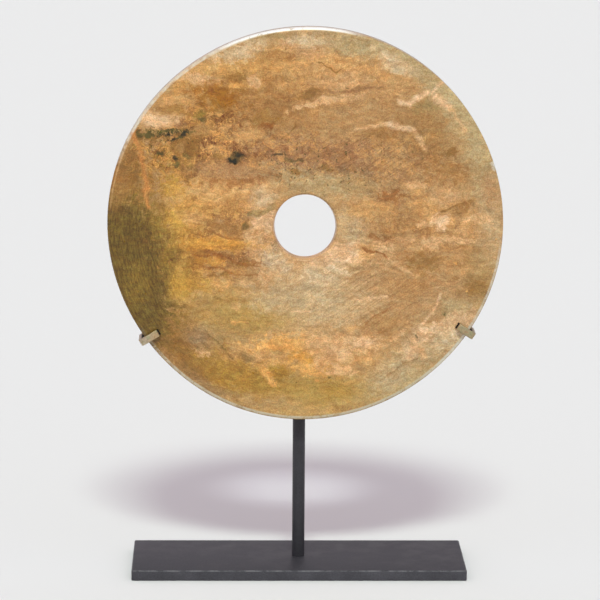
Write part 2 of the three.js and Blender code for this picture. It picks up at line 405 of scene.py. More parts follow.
# %% Zones
ZONES = [
    ("orange_tan", 5, 118, 75, 30, 0, 0.7, 0.5, 0.85),
    ("ochre", -62, 108, 44, 26, 25, 0.7, 0.5, 0.7),
    ("brown", -30, 88, 62, 18, -3, 0.7, 0.5, 0.8),
    ("ground", 64, 85, 52, 16, 0, 0.7, 0.5, 0.9),
    ("mauve", 10, 49, 100, 18, -2, 0.45, 0.5, 1.0),
    ("umber", 92, 66, 28, 26, 25, 0.8, 0.5, 0.5),
    ("grey_green", 6, 34, 48, 11, -5, 0.7, 0.6, 0.8),
    ("ochre", -68, 4, 40, 32, 0, 0.7, 0.5, 0.9),
    ("orange_tan", -58, 26, 34, 10, -3, 0.6, 0.6, 0.9),
    ("yellow_ochre", -92, -28, 16, 44, 0, 0.8, 0.4, 0.7),
    ("ground", -60, -66, 36, 20, -15, 0.8, 0.4, 0.8),
    ("olive_yellow", -52, -66, 38, 18, -8, 0.8, 0.5, 0.8),
    ("sage", -58, -86, 24, 9, -12, 0.8, 0.4, 0.45),
    ("yellow_ochre", -82, -44, 24, 6, 0, 0.7, 0.5, 0.9),
    ("pale_grey", 16, -54, 40, 26, 2, 0.7, 0.4, 0.65),
    ("olive_yellow", -30, -68, 20, 10, 8, 0.8, 0.4, 0.8),
    ("clay", 84, -38, 48, 32, 0, 0.7, 0.4, 0.85),
    ("orange_tan", -8, -96, 50, 12, 2, 0.6, 0.6, 0.8),
    ("olive_yellow", -4, -126, 66, 18, 0, 0.7, 0.4, 1.0),
    ("grey_green", 78, -112, 34, 22, 32, 0.7, 0.4, 0.9),
    ("tan", 102, -84, 34, 15, 22, 0.7, 0.9, 0.8),
    ("orange_tan", 30, -96, 30, 14, 0, 0.7, 0.9, 0.8),
    ("tan", 104, -60, 22, 9, 10, 0.7, 0.5, 0.7),
    ("grey_green", 113, -62, 11, 8, 0, 0.7, 0.4, 0.8),
    ("sage", 34, 30, 14, 6, 0, 0.7, 0.5, 0.4),
    ("brown", 79, -46, 16, 10, 10, 0.8, 0.4, 0.55),
    ("milk", 9, -38, 16, 8, 15, 0.7, 0.5, 0.9),
    ("buff", -36, -12, 9, 14, 0, 0.7, 0.5, 0.8),
    ("umber", -82, 52, 12, 10, 0, 0.7, 0.9, 0.6),
    ("pale_grey", 66, -113, 15, 9, 28, 0.7, 0.4, 0.8),
    ("buff", 108, -88, 14, 8, 38, 0.7, 0.4, 0.8),
    ("tan", -34, -133, 32, 7, -8, 0.7, 0.4, 0.7),
    ("brown", 72, 10, 34, 20, 0, 0.7, 0.8, 0.15),
    ("ground", 65, 50, 15, 9, 0, 0.8, 0.6, 0.8),
    ("orange_tan", 101, 0, 28, 18, 0, 0.7, 0.8, 0.6),
    ("grey_green", 36, 136, 30, 8, -12, 0.5, 0.4, 1.0),
    ("buff", -15, 142, 42, 5, 0, 0.7, 0.3, 0.7),
    ("grey_green", 116, 88, 52, 12, -52, 0.7, 0.4, 0.95),
    ("grey_green", 84, 117, 32, 8, -40, 0.6, 0.4, 0.9),
    ("grey_green", 120, 62, 20, 10, -62, 0.7, 0.6, 0.5),
    ("grey_green", 133, 42, 30, 12, -75, 0.7, 0.4, 0.85),
    ("buff", 139, 0, 9, 24, 0, 0.7, 0.4, 0.85),
    ("mauve", 139, 29, 7, 12, 8, 0.7, 0.5, 0.8),
    ("sage", 132, -42, 11, 22, 10, 0.7, 0.5, 0.7),
    ("cream", -33, 0, 12, 27, 0, 0.7, 0.8, 0.85),
    ("buff", 34, -3, 12, 19, 0, 0.6, 0.5, 1.0),
    ("cream", 14, -23, 38, 9, 5, 0.6, 0.6, 0.8),
    ("milk", -26, -25, 14, 11, -40, 0.7, 0.5, 0.9),
    ("umber", -88, -98, 40, 14, -44, 0.7, 0.4, 0.9),
    ("umber", -97, -76, 13, 13, 0, 0.7, 0.5, 0.7),
    ("gold_olive", -52, -112, 36, 14, -24, 0.7, 0.4, 0.85),
    ("umber", -124, 22, 18, 22, 15, 0.8, 0.5, 0.8),
    ("brown", -142, 20, 7, 18, -5, 0.7, 0.4, 0.9),
    ("umber", -135, 38, 34, 11, 70, 0.6, 0.4, 0.9),
    # The broad olive zones at the left margin are partly the stone's colour and partly painted shade: there
    # the polished face mirrors none of the light that brightens the rest, and that darkness is painted in.
    ("olive_green", -142, -32, 51, 56, 0, 0.3, 0.25, 0.85),
    ("olive", -156, -34, 56, 58, 0, 0.2, 0.2, 1.0),
    ("olive_green", -101, -22, 7, 13, -8, 0.8, 0.3, 1.0),
    ("olive_green", -110, 0, 5, 9, 0, 0.9, 0.3, 0.8),
    ("olive", -140, -72, 38, 32, -20, 0.35, 0.25, 0.9),
    ("gold_olive", -98, 50, 20, 16, 0, 0.7, 0.9, 0.9),
    ("umber", -80, 66, 14, 10, 0, 0.7, 0.9, 0.6),
    ("brown", -64, 66, 28, 22, 0, 0.7, 0.9, 0.8),
    ("umber", -66, 86, 18, 8, -20, 0.7, 0.9, 0.6),
]
print("zones:", len(ZONES))

# %% [markdown]
# Smaller clouds and spots lie over the zones, in the same form.

# %% Spots
SPOTS = [
    ("brown", -140, 28, 6, 14, -8, 0.8, 0.4, 0.6),
    ("olive_green", -126, -46, 9, 13, 0, 0.8, 0.4, 0.5),
    ("yellow_ochre", -96, 2, 7, 8, 0, 0.8, 0.5, 0.8),
    ("yellow_ochre", -99, 29, 8, 7, 0, 0.8, 0.6, 0.6),
    ("amber", -81, -20, 9, 14, 0, 0.8, 0.5, 0.55),
    ("orange_tan", -85, 5, 9, 5, 0, 0.7, 0.6, 0.8),
    ("orange_tan", -50, -6, 13, 6, 0, 0.7, 0.6, 0.6),
    ("cream", -38, -14, 8, 9, 0, 0.7, 0.5, 0.7),
    ("orange_tan", 94, 13, 16, 7, 0, 0.7, 0.6, 0.85),
    ("cream", 27, 108, 18, 6, 0, 0.7, 0.6, 0.75),
    ("ochre", -97, 86, 8, 4, 0, 0.7, 0.6, 0.8),
    ("umber", -81, 74, 10, 9, 0, 0.8, 0.8, 0.7),
    ("umber", -89, 61, 10, 8, 0, 0.8, 0.8, 0.9),
    ("umber", -31, 80, 10, 6, 0, 0.8, 0.8, 0.75),
    ("brown", 52, 69, 12, 5, 0, 0.8, 0.5, 0.8),
    ("ground", 30, 70, 10, 6, 0, 0.8, 0.6, 0.8),
    ("orange_tan", -69, 30, 8, 6, 0, 0.8, 0.6, 0.75),
    ("umber", -66, 92, 9, 4, 0, 0.8, 0.6, 0.6),
    ("milk", 17, -30, 15, 6, 20, 0.6, 0.4, 0.9),
    ("deep_orange", 12, -107, 11, 4, 0, 0.7, 0.4, 0.8),
    ("umber", -88, 48, 8, 8, 0, 0.8, 0.8, 0.5),
    ("umber", -86, -106, 15, 7, -45, 0.8, 0.4, 0.6),
    ("brown", 114, -30, 11, 8, 0, 0.8, 0.5, 0.5),
    ("yellow_ochre", -95, -44, 7, 9, 0, 0.8, 0.4, 0.8),
    ("pale_grey", 104, -88, 12, 7, 38, 0.6, 0.4, 0.8),
    ("cream", -109, 79.5, 14, 6.5, -2, 0.5, 0.5, 0.9),
    ("pale", -111, 79, 10, 4.5, 0, 0.6, 0.5, 0.85),
    ("umber", -99, 88, 12, 4, -8, 0.5, 0.6, 0.5),
    ("orange_tan", -98, 95, 11, 2.6, 3, 0.4, 0.6, 0.9),
    ("milk", -50, 130.5, 18, 6, 18, 0.6, 0.8, 0.85),
    ("cream", -78, 110, 18, 4, -10, 0.4, 0.7, 0.95),
    ("amber", -65, 99, 17, 9, -5, 0.7, 0.7, 0.9),
    ("red_brown", -71, 101.5, 3, 1.8, -30, 0.5, 0.8, 0.95),
    ("olive_green", -80.5, 82.5, 5, 3, 20, 0.5, 0.8, 0.9),
    ("moss", -78, 78.5, 3, 1.6, 0, 0.5, 0.8, 0.8),
    ("orange_tan", -78, 72, 7, 4, 15, 0.4, 0.9, 0.4),
    ("orange_tan", -60, 73, 4, 3, 0, 0.4, 0.8, 0.7),
    ("orange_tan", -45, 68, 12, 5, 12, 0.4, 0.8, 0.85),
    ("orange_tan", -92, 60, 5, 2, 30, 0.4, 0.9, 0.3),
    ("orange_tan", -68, 58, 6, 3, 0, 0.5, 0.9, 0.5),
    ("umber", -112, 67, 16, 4, 0, 0.6, 0.9, 0.8),
    ("moss", -117, 68.5, 9, 1.4, 4, 0.6, 1.2, 0.85),
    ("moss", -104, 70.3, 13, 1.3, -2, 0.6, 1.2, 0.9),
    ("moss_black", -102.5, 67.8, 5, 1.5, 8, 0.6, 1.1, 0.95),
    ("moss_black", -91.5, 68.5, 3.2, 1.6, 40, 0.6, 1.1, 0.9),
    ("moss_black", -99.7, 63.3, 3, 1.2, 18, 0.6, 0.8, 0.9),
    ("moss", -94.8, 65.2, 2, 1, 30, 0.5, 0.6, 0.9),
    ("umber", -84, 63, 5, 2.4, 5, 0.6, 0.9, 0.8),
    ("moss", -108.5, 54.5, 2, 1.4, 0, 0.5, 0.6, 0.9),
    ("moss_black", -97.5, 51, 1.9, 1.3, -30, 0.7, 0.8, 0.8),
    ("moss", -96, 46, 1.6, 3, 0, 0.5, 0.8, 0.8),
    ("moss", -88.5, 53.5, 2.4, 1.6, 0, 0.5, 0.8, 0.7),
    ("umber", -65, 51, 4, 2.5, -10, 0.5, 0.6, 0.7),
    ("mauve", -52, 41, 28, 6, -4, 0.6, 0.6, 0.8),
    ("red_brown", -50, 34, 26, 3, 2, 0.6, 0.9, 0.6),
    ("moss", -51, 51, 6, 3.6, 12, 0.6, 0.4, 0.6),
    ("moss_black", -54.6, 48.6, 3.6, 1.8, 5, 0.6, 0.25, 1.0),
    ("moss_black", -49.6, 53.4, 3.4, 1.9, 5, 0.7, 0.3, 0.9),
    ("red_brown", -28, 75, 6, 3, 0, 0.6, 0.9, 0.85),
    ("mauve_dark", -24.5, 57.5, 3, 2, 0, 0.5, 0.8, 0.8),
    ("moss_black", -18.5, 53.5, 3.4, 1.3, 8, 0.6, 1.0, 0.85),
    ("moss", -12, 50, 4, 1.3, -10, 0.6, 1.1, 0.7),
    ("moss", -5, 49.5, 3, 1.2, 0, 0.5, 0.8, 0.7),
    ("umber", -7, 40.5, 4.6, 2.6, 0, 0.4, 0.5, 0.8),
    ("umber", 16, 44.5, 5, 2, -8, 0.5, 0.9, 0.8),
    ("mauve_dark", 32, 59, 7, 4, 0, 0.6, 0.9, 0.7),
    ("mauve_dark", 24, 50, 10, 6, 0, 0.7, 0.9, 0.5),
    ("mauve_dark", 0, 53, 16, 5, 0, 0.7, 0.9, 0.4),
    ("red_brown", 62, 23, 9, 5, 10, 0.6, 0.9, 0.8),
    ("orange_tan", 46, 12, 15, 6, 0, 0.6, 0.6, 0.9),
    ("brown", 66, -1, 16, 12, -10, 0.7, 0.8, 0.35),
    ("red_brown", 58, -9, 10, 1.6, -8, 0.6, 1.2, 0.55),
    ("umber", 114.5, 12, 4, 6, 0, 0.7, 0.8, 0.4),
    ("umber", 122, 18, 5, 3, 20, 0.7, 0.8, 0.6),
    ("umber", 101.5, 11.5, 4, 1.4, 0, 0.7, 0.8, 0.6),
    ("umber", 88, -27, 12, 8, 0, 0.7, 0.7, 0.75),
    ("umber", 127, -47, 12, 8, 10, 0.8, 0.6, 0.75),
    ("pale", 101, 2.5, 6, 7, 0, 0.35, 0.7, 0.9),
    ("cream", 86.5, 1.8, 5, 3, 0, 0.4, 0.8, 0.85),
    ("cream", 118.5, -3, 4.4, 3, 0, 0.5, 0.5, 0.25),
    ("cream", 131, 6, 12, 3.4, 4, 0.4, 0.7, 0.8),
    ("cream", 96, -13, 9, 4, 8, 0.35, 0.8, 0.95),
    ("cream", 115, -10.5, 11, 3, 5, 0.35, 0.8, 0.95),
    ("cream", 55, -15.5, 9, 3.6, -8, 0.35, 0.8, 0.9),
    ("cream", 75, -11, 9, 2.6, 0, 0.5, 0.9, 0.6),
    ("pale", 31, -20.5, 14, 7, 8, 0.5, 0.5, 1.0),
    ("pale", 15, -26, 10, 5, 15, 0.6, 0.5, 0.8),
    ("orange_tan", 45, -19, 7, 5, 0, 0.6, 0.7, 0.85),
    ("orange", 112.8, -27.9, 0.9, 0.9, 0, 0.4, 0.0, 0.9),
    ("orange", 120.3, -50.7, 0.8, 0.8, 0, 0.4, 0.0, 0.9),
    ("orange", 143.3, -9.8, 0.8, 0.8, 0, 0.4, 0.0, 0.9),
    ("mauve_dark", -63, 2, 9, 5, -5, 0.7, 0.8, 0.45),
    ("tan", -64, 2.5, 3.4, 2.2, 0, 0.5, 0.6, 0.8),
    ("brown", -51, 15.5, 12, 4, 15, 0.6, 0.9, 0.35),
    ("brown", -56, -3, 20, 4, -12, 0.6, 0.9, 0.8),
    ("pale", -31, 3, 8, 8, 10, 0.35, 0.7, 0.85),
    ("cream", -40, -10, 8, 6, 0, 0.6, 0.6, 0.95),
    ("sage", -35, 9.5, 7.5, 3.2, 15, 0.35, 0.5, 0.9),
    ("sage", -26, 13.5, 4, 2.6, 30, 0.4, 0.5, 0.8),
    ("milk", -31, 21, 8, 5, 0, 0.7, 0.5, 0.7),
    ("moss", -45, 0.8, 2.6, 2, 0, 0.6, 0.7, 0.75),
    ("deep_orange", -64, -14, 27, 5, 0, 0.6, 0.5, 0.9),
    ("brown", -52, -33, 18, 8, -5, 0.7, 0.7, 0.55),
    ("red_brown", -70, -22, 13, 1.6, -8, 0.7, 0.9, 0.8),
    ("deep_orange", -72, -27.5, 10, 2.6, -4, 0.6, 0.9, 0.6),
    ("umber", -60, -37, 6, 2.4, 5, 0.5, 0.8, 0.8),
    ("umber", -46, -29, 8, 2, -8, 0.5, 0.9, 0.7),
    ("red_brown", -38, -28, 7, 1.6, -15, 0.7, 0.9, 0.5),
    ("cream", -31, -42, 5, 5, 0, 0.45, 0.9, 0.85),
    ("cream", -47, -45, 6, 3, 0, 0.45, 0.9, 0.4),
    ("orange_tan", -64, -45, 10, 4, 0, 0.5, 0.9, 0.7),
    ("buff", -18, -55, 22, 11, 5, 0.6, 0.6, 0.8),
    ("ash", -80, -86, 10, 7, -25, 0.8, 0.5, 0.7),
    ("ash", -76, -122, 22, 5, -42, 0.7, 0.4, 0.4),
    ("cream", -77, -97, 7, 3, -8, 0.4, 0.8, 0.8),
    ("orange_tan", -44, -97, 17, 4, 8, 0.6, 0.5, 0.7),
    ("orange", -20, -90, 18, 6.5, 4, 0.4, 0.6, 0.95),
    ("orange", -24, -105, 17, 4, 0, 0.5, 0.5, 0.45),
    ("orange", -27.5, -114.5, 9, 3.4, -48, 0.3, 0.4, 0.95),
    ("gold_olive", -18, -111, 9, 5, 0, 0.6, 0.5, 0.95),
    ("sage", -43.5, -101, 5, 2.6, 0, 0.5, 0.6, 0.8),
    ("sage", -21, -95.5, 5, 1.4, 0, 0.5, 0.8, 0.7),
    ("orange", -54, -73.5, 1.6, 1.1, 0, 0.4, 0.0, 0.95),
    ("orange_tan", -52, -62.5, 3.4, 2.4, 0, 0.5, 0.7, 0.8),
    ("orange", -50, -89.7, 1.3, 1, 0, 0.4, 0.0, 0.9),
    ("orange", -6, -92, 7, 6, 0, 0.5, 0.8, 0.9),
    ("deep_orange", 3, -100, 13, 6, -3, 0.6, 0.5, 0.9),
    ("orange", 5, -109, 14, 5, -3, 0.5, 0.4, 0.9),
    ("cream", 20, -93, 18, 10.5, -5, 0.5, 0.45, 0.75),
    ("pale", 25, -95.5, 9, 7, 0, 0.5, 0.45, 0.3),
    ("cream", 44, -89, 14, 8, -5, 0.5, 0.45, 0.9),
    ("pale", 43, -89, 8, 3.6, 0, 0.5, 0.45, 0.8),
    ("cream", 26, -110, 10, 3.4, 3, 0.4, 0.9, 0.8),
    ("cream", 16, -103, 8, 5, 0, 0.6, 0.5, 0.7),
    ("brown", 59, -75, 16, 10, 15, 0.7, 0.7, 0.6),
    ("pale", 79, -96, 6.5, 6.5, 0, 0.5, 0.45, 0.65),
    ("pale", 87, -83, 7, 7, 20, 0.5, 0.45, 0.7),
    ("pale", 102, -77, 10, 5, 12, 0.5, 0.45, 0.7),
    ("cream", 88.5, -98.5, 2.6, 3.6, 0, 0.4, 0.7, 0.9),
    ("pale", 118, -72, 12, 7, 20, 0.5, 0.45, 0.7),
    ("milk", 109, -83, 12, 7, 25, 0.6, 0.45, 0.75),
    ("cream", 71, -83.5, 8, 2.6, 35, 0.4, 0.9, 0.7),
    ("orange", 10, -118, 1, 0.8, 0, 0.4, 0.0, 0.9),
    ("moss", -5, -119, 0.9, 0.8, 0, 0.5, 0.0, 0.8),
    ("gold_olive", 28, -125, 13, 7, 0, 0.8, 0.4, 0.5),
    ("moss", 19, -116, 1.2, 0.8, 0, 0.5, 0.0, 0.7),
    ("moss", 104.8, -67.8, 2, 1.3, 0, 0.6, 0.7, 0.8),
    ("moss", 85, -84.6, 1.2, 0.9, 0, 0.5, 0.0, 0.7),
    ("sage", -26, 142, 15, 2.6, 4, 0.6, 0.4, 0.8),
    ("cream", 1, 132, 14, 6, 0, 0.5, 0.7, 0.75),
    ("cream", -16, 137.5, 5.5, 3.6, 0, 0.5, 0.5, 0.9),
    ("milk", 0, 139.5, 13, 4.5, 0, 0.6, 0.5, 0.85),
    ("orange_tan", 18.5, 123, 7, 6.5, -10, 0.35, 0.6, 0.85),
    ("brown", -19, 128, 14, 3, -6, 0.6, 0.8, 0.8),
    ("umber", -51, 112, 8, 3.6, 0, 0.6, 0.6, 0.8),
    ("orange", -53, 105.5, 5, 2, 0, 0.4, 0.6, 0.85),
    ("cream", -38, 109, 4.6, 4, 0, 0.4, 0.7, 0.95),
    ("umber", 2, 99.5, 10, 3, 5, 0.5, 0.7, 0.7),
    ("mauve_dark", 32, 102, 20, 1.3, 4, 0.6, 0.8, 0.55),
    ("cream", 6, 92, 18, 2.4, 16, 0.35, 0.7, 0.95),
    ("cream", 22, 95.3, 20, 2.4, 9, 0.5, 0.5, 0.9),
    ("umber", -14.5, 134, 1, 1.2, 0, 0.5, 0.0, 0.8),
    ("moss", 30.7, 105.7, 1, 1, 0, 0.5, 0.0, 0.6),
    ("milk", 66, 122, 15, 5.5, -27, 0.6, 0.5, 0.85),
    ("grey_green", 68, 132, 18, 3.5, -27, 0.6, 0.3, 0.9),
    ("sage", 90, 91, 10, 5, 0, 0.4, 0.6, 0.8),
        ("brown", 107, 41, 17, 8, -12, 0.7, 0.9, 0.8),
    ("umber", 110, 57, 4, 3.4, 0, 0.6, 0.8, 0.8),
    ("cream", 104, 22, 14, 5, 0, 0.6, 0.8, 0.7),
    ("cream", 81, 31, 8, 2.4, -6, 0.3, 0.4, 0.7),
    ("orange_tan", 81, 25, 3, 2, 0, 0.4, 0.5, 0.8),
    # Two small painted highlights on the rim.
    ("rim_pale", 102.5, 107.5, 1.8, 1.8, 0, 0.5, 0.3, 0.8),
    ("rim_pale", 140, 46, 1.5, 2.8, 10, 0.5, 0.3, 0.8),
]
print("spots:", len(SPOTS))

# %% [markdown]
# Veins and cracks are lines. A row says: colour, half width, strength and the points the line runs
# through.

# %% Lines
LINES = [
    ("fissure", 2.0, 0.9, [(-127, 70), (-124, 58)]),
    ("fissure", 2.5, 0.85, [(-123, 54), (-119, 28)]),
    ("fissure", 1.9, 0.8, [(-118.5, 30), (-117, 14)]),
    ("umber", 0.9, 0.9, [(8, 123), (15, 118), (21.5, 116.7), (26, 119.5)]),
    ("red_brown", 1.1, 0.7, [(-85, -23), (-75, -24), (-66, -23), (-56, -25), (-45, -30), (-34, -32)]),
    ("red_brown", 1.1, 0.65, [(-81, -31), (-71, -32), (-62, -31.5), (-56, -36), (-45, -38), (-36, -39)]),
    ("red_brown", 1.0, 0.65, [(-75, -3), (-66, -7), (-56, -9.5), (-47, -10.5)]),
    ("red_brown", 1.2, 0.55, [(-68, -17), (-60, -15.5), (-51, -16.5)]),
    ("umber", 0.9, 0.6, [(-17, 66), (-7, 76)]),
    ("umber", 1.0, 0.7, [(101, 12), (113, 15), (123, 19.5)]),
    ("red_brown", 1.2, 0.9, [(43, -17), (54, -19.5), (62.5, -25)]),
    ("cream", 1.6, 0.7, [(62.5, -25), (78.5, -34.5)]),
    ("pale", 1.4, 0.8, [(102, -52.5), (95, -66), (87, -75.5)]),
    ("pale", 1.4, 0.7, [(41, -58), (50, -55.5), (62, -53.5)]),
    ("pale", 1.0, 0.6, [(-11, -65), (3, -64)]),
    ("orange", 0.9, 0.6, [(-54, -73.5), (-44, -74)]),
    ("umber", 0.9, 0.5, [(85, -101), (56, -117)]),
    ("olive", 1.1, 0.5, [(-72.5, -84), (-54.5, -101)]),
    ("red_brown", 1.1, 0.6, [(45, -74.5), (63.5, -61)]),
    ("pale", 3.0, 0.95, [(70, 94), (77.5, 92)]),
    ("pale", 2.6, 0.85, [(77.5, 92), (83, 97), (91.5, 101)]),
    ("pale", 2.2, 0.8, [(95, 99.5), (101.5, 108)]),
    ("pale", 3.6, 0.85, [(98, 96), (105, 90)]),
    ("cream", 2.8, 0.7, [(105, 90), (109, 86)]),
    ("cream", 2.2, 0.6, [(109, 86), (118, 72)]),
    ("cream", 2.2, 0.8, [(38, 73), (48.5, 76), (62, 76)]),
    ("pale", 3.0, 0.95, [(60, 76), (79.5, 73.5)]),
    ("cream", 2.4, 0.8, [(79.5, 73.5), (84, 66.5), (89.5, 59)]),
]
print("lines:", len(LINES))

# %% [markdown]
# The stone's tree centres its place on the disc and measures in millimetres. Two noises stir that
# place, and a third makes edges ragged. The zones are then chained over the ground colour. The stretched
# and patched noises that follow all live in this one tree, so short helpers name it once.

# %% Stone markings
FLAT = 1e6
STIR_WIDE = (0.06, 11.0)
STIR_FINE = (0.25, 5.0)
SWIRL_DETAIL = 4.0
SWIRL_ROUGHNESS = 0.6
RAGGED_NOISE = (0.22, 8.0, 0.7)
RAGGED_RANGE = (0.25, 0.75)

disc_low, disc_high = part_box("jade_disc")
disc_middle = (disc_low + disc_high) / 2
jade, stone_tree, stone_shader = new_material("polished_jade")


def stone_calc(operation, first, second=0.0):
    return calc(stone_tree, operation, first, second)


def stone_spread(value, low, high, to_low=0.0, to_high=1.0):
    return spread(stone_tree, value, low, high, to_low, to_high)


def stone_noise(vector, scale, detail, roughness):
    return fractal(stone_tree, vector, scale, detail, roughness).outputs[0]


def stone_vector(operation, first, second):
    return vector_step(stone_tree, operation, first, second).outputs[0]


def stone_scaled(vector, amount):
    return node(stone_tree, "VectorMath", {0: vector, "Scale": amount}, operation="SCALE").outputs[0]


object_place = node(stone_tree, "TexCoord").outputs["Object"]
place = stone_scaled(stone_vector("SUBTRACT", object_place, disc_middle), 1 / MM)


def stirring(scale, amount):
    swirl = fractal(stone_tree, place, scale, SWIRL_DETAIL, SWIRL_ROUGHNESS).outputs["Color"]
    return stone_scaled(stone_vector("SUBTRACT", swirl, (0.5, 0.5, 0.5)), amount)


waved = stone_vector("ADD", place, stirring(*STIR_WIDE))
stirred = stone_vector("ADD", waved, stirring(*STIR_FINE))
raggedness = stone_spread(stone_noise(stirred, *RAGGED_NOISE), *RAGGED_RANGE, -1.0, 1.0)
stirred_parts = node(stone_tree, "SeparateXYZ", {0: stirred}).outputs
marking_place = node(
    stone_tree, "CombineXYZ", {0: stirred_parts["X"], 1: raggedness, 2: stirred_parts["Z"]},
).outputs[0]


def patch_node(row, group, **painting):
    x, z, half_length, half_height, tilt, softness, ragged_edge, strength = row
    inputs = {
        "Place": marking_place,
        "Stir": raggedness,
        "Middle": (x, 0.0, z),
        "Reach": (half_length, FLAT, half_height),
        "Tilt": math.radians(tilt),
        "Crisp": 1 / softness,
        "Ragged": ragged_edge,
        "Strength": strength,
    }
    return node(stone_tree, "Group", inputs | painting, node_tree=group)


def paint_patch(below, row):
    return patch_node(row[1:], patch_group, Below=below, Colour=STONE[row[0]]).outputs["Colour"]


def paint_line(below, row):
    colour, width, strength, points = row
    for start, end in zip(points, points[1:]):
        inputs = {
            "Place": waved,
            "Stir": raggedness,
            "Below": below,
            "Colour": STONE[colour],
            "Start": (start[0], 0.0, start[1]),
            "End": (end[0], 0.0, end[1]),
            "Width": width,
            "Strength": strength,
        }
        below = node(stone_tree, "Group", inputs, node_tree=line_group).outputs["Colour"]
    return below


stone_colour = STONE["ground"]
for row in ZONES:
    stone_colour = paint_patch(stone_colour, row)
print("markings:", len(stone_tree.nodes), "nodes")

# %% [markdown]
# Fine curls and streaks run through the brown bands. They follow the places where a noise crosses its
# middle value, which gives thin wandering lines. Each has a map of its own, made of the same soft
# patches, so that they gather where the stone is stained. The spots and the veins lie over them, and
# specks sit in the cells of a flat Voronoi pattern, because a solid one would hide most of them.

# %% Stone texture
THREAD_REGIONS = [
    (-82, 64, 40, 32, 0, 0.6, 0.6, 1.0),
    (-30, 52, 70, 18, 0, 0.6, 0.5, 0.6),
    (50, 54, 52, 22, 0, 0.6, 0.5, 0.4),
    (80, 8, 52, 24, 0, 0.6, 0.6, 0.4),
    (-58, -14, 40, 30, 0, 0.6, 0.6, 0.6),
    (5, 112, 76, 30, 0, 0.6, 0.6, 0.2),
]
STREAK_REGIONS = [
    (-66, -18, 32, 24, 0, 0.6, 0.5, 0.9),
    (76, 0, 36, 20, 0, 0.6, 0.5, 0.35),
    (10, 98, 70, 16, 0, 0.6, 0.5, 0.3),
]
SPECK_REGIONS = [
    (14, 46, 58, 20, 0, 0.6, 0.6, 1.0),
    (-96, 60, 26, 18, 0, 0.6, 0.6, 0.9),
    (64, 54, 36, 20, 0, 0.6, 0.6, 0.6),
]
CRINKLE = (0.5, 3.0)
STRETCH_DEPTH = 0.6
CROSSING_ROUGHNESS = 0.6
THREAD_DETAIL = 3.0
DARK_THREADS = (0.24, 0.125, (0.0, 0.0, 0.0))
LIGHT_THREADS = (0.22, 0.10, (70.0, 30.0, 20.0))
THREAD_SIDE_NOISE = (0.12, 4.0, 0.6)
DARK_SIDE = (0.40, 0.54)
LIGHT_SIDE = (0.46, 0.60)
STREAK_STRETCH = (0.3, 1.0)
STREAK_NOISE = (0.28, 4.0)
STREAK_THIN = 0.06
STREAK_SHARE = 0.7
SPECK_SCALE = 0.3
SPECK_EDGE = (0.1, 0.24)
SPECK_PICK = (0.6, 0.75)
SPECK_SHARE = 0.85


def region(rows):
    total = 0.0
    for row in rows:
        total = stone_calc("MAXIMUM", total, patch_node(row, region_group).outputs["Mask"])
    return total


def stretched(x_share, z_share):
    return stone_vector("MULTIPLY", stirred, (x_share, STRETCH_DEPTH, z_share))


def crossing(vector, scale, detail):
    """How far a noise is from its middle value: zero along thin wandering lines."""
    height = stone_noise(vector, scale, detail, CROSSING_ROUGHNESS)
    return stone_calc("ABSOLUTE", stone_calc("SUBTRACT", height, 0.5))


crinkled = stone_vector("ADD", stirred, stirring(*CRINKLE))


def hairlines(scale, thin, shift):
    shifted = stone_vector("ADD", crinkled, shift)
    return stone_spread(crossing(shifted, scale, THREAD_DETAIL), 0.0, thin, 1.0, 0.0)


thread_map = region(THREAD_REGIONS)
thread_side = stone_noise(stirred, *THREAD_SIDE_NOISE)
dark_side = stone_calc("MULTIPLY", thread_map, stone_spread(thread_side, *DARK_SIDE))
light_side = stone_calc("MULTIPLY", thread_map, stone_spread(thread_side, *LIGHT_SIDE, 1.0, 0.0))
dark_threads = stone_calc("MULTIPLY", hairlines(*DARK_THREADS), dark_side)
light_threads = stone_calc("MULTIPLY", hairlines(*LIGHT_THREADS), light_side)
streaks = crossing(stretched(*STREAK_STRETCH), *STREAK_NOISE)
streaks = stone_spread(streaks, 0.0, STREAK_THIN, STREAK_SHARE, 0.0)
streaks = stone_calc("MULTIPLY", streaks, region(STREAK_REGIONS))
stone_colour = blend(stone_tree, dark_threads, stone_colour, STONE["thread_dark"])
stone_colour = blend(stone_tree, light_threads, stone_colour, STONE["thread_light"])
stone_colour = blend(stone_tree, streaks, stone_colour, STONE["thread_dark"])

for row in SPOTS:
    stone_colour = paint_patch(stone_colour, row)
for row in LINES:
    stone_colour = paint_line(stone_colour, row)

speck_place = node(stone_tree, "CombineXYZ", {0: stirred_parts["X"], 1: stirred_parts["Z"]}).outputs[0]
speck_cells = node(
    stone_tree, "TexVoronoi", {"Vector": speck_place, "Scale": SPECK_SCALE}, voronoi_dimensions="2D",
).outputs
speck_dots = stone_spread(speck_cells["Distance"], *SPECK_EDGE, 1.0, 0.0)
speck_pick = node(stone_tree, "SeparateColor", {0: speck_cells["Color"]}).outputs[0]
speck_mask = stone_calc("MULTIPLY", speck_dots, stone_spread(speck_pick, *SPECK_PICK, 0.0, SPECK_SHARE))
speck_mask = stone_calc("MULTIPLY", speck_mask, region(SPECK_REGIONS))
stone_colour = blend(stone_tree, speck_mask, stone_colour, STONE["moss"])
print("threads and specks:", len(stone_tree.nodes), "nodes")

# %% [markdown]
# Then come the textures that cover everything: long level bands, wisps, mottling and fine grain, and
# soft puffs in the pale clouds. All of them are shares of light, near one, that are multiplied together.

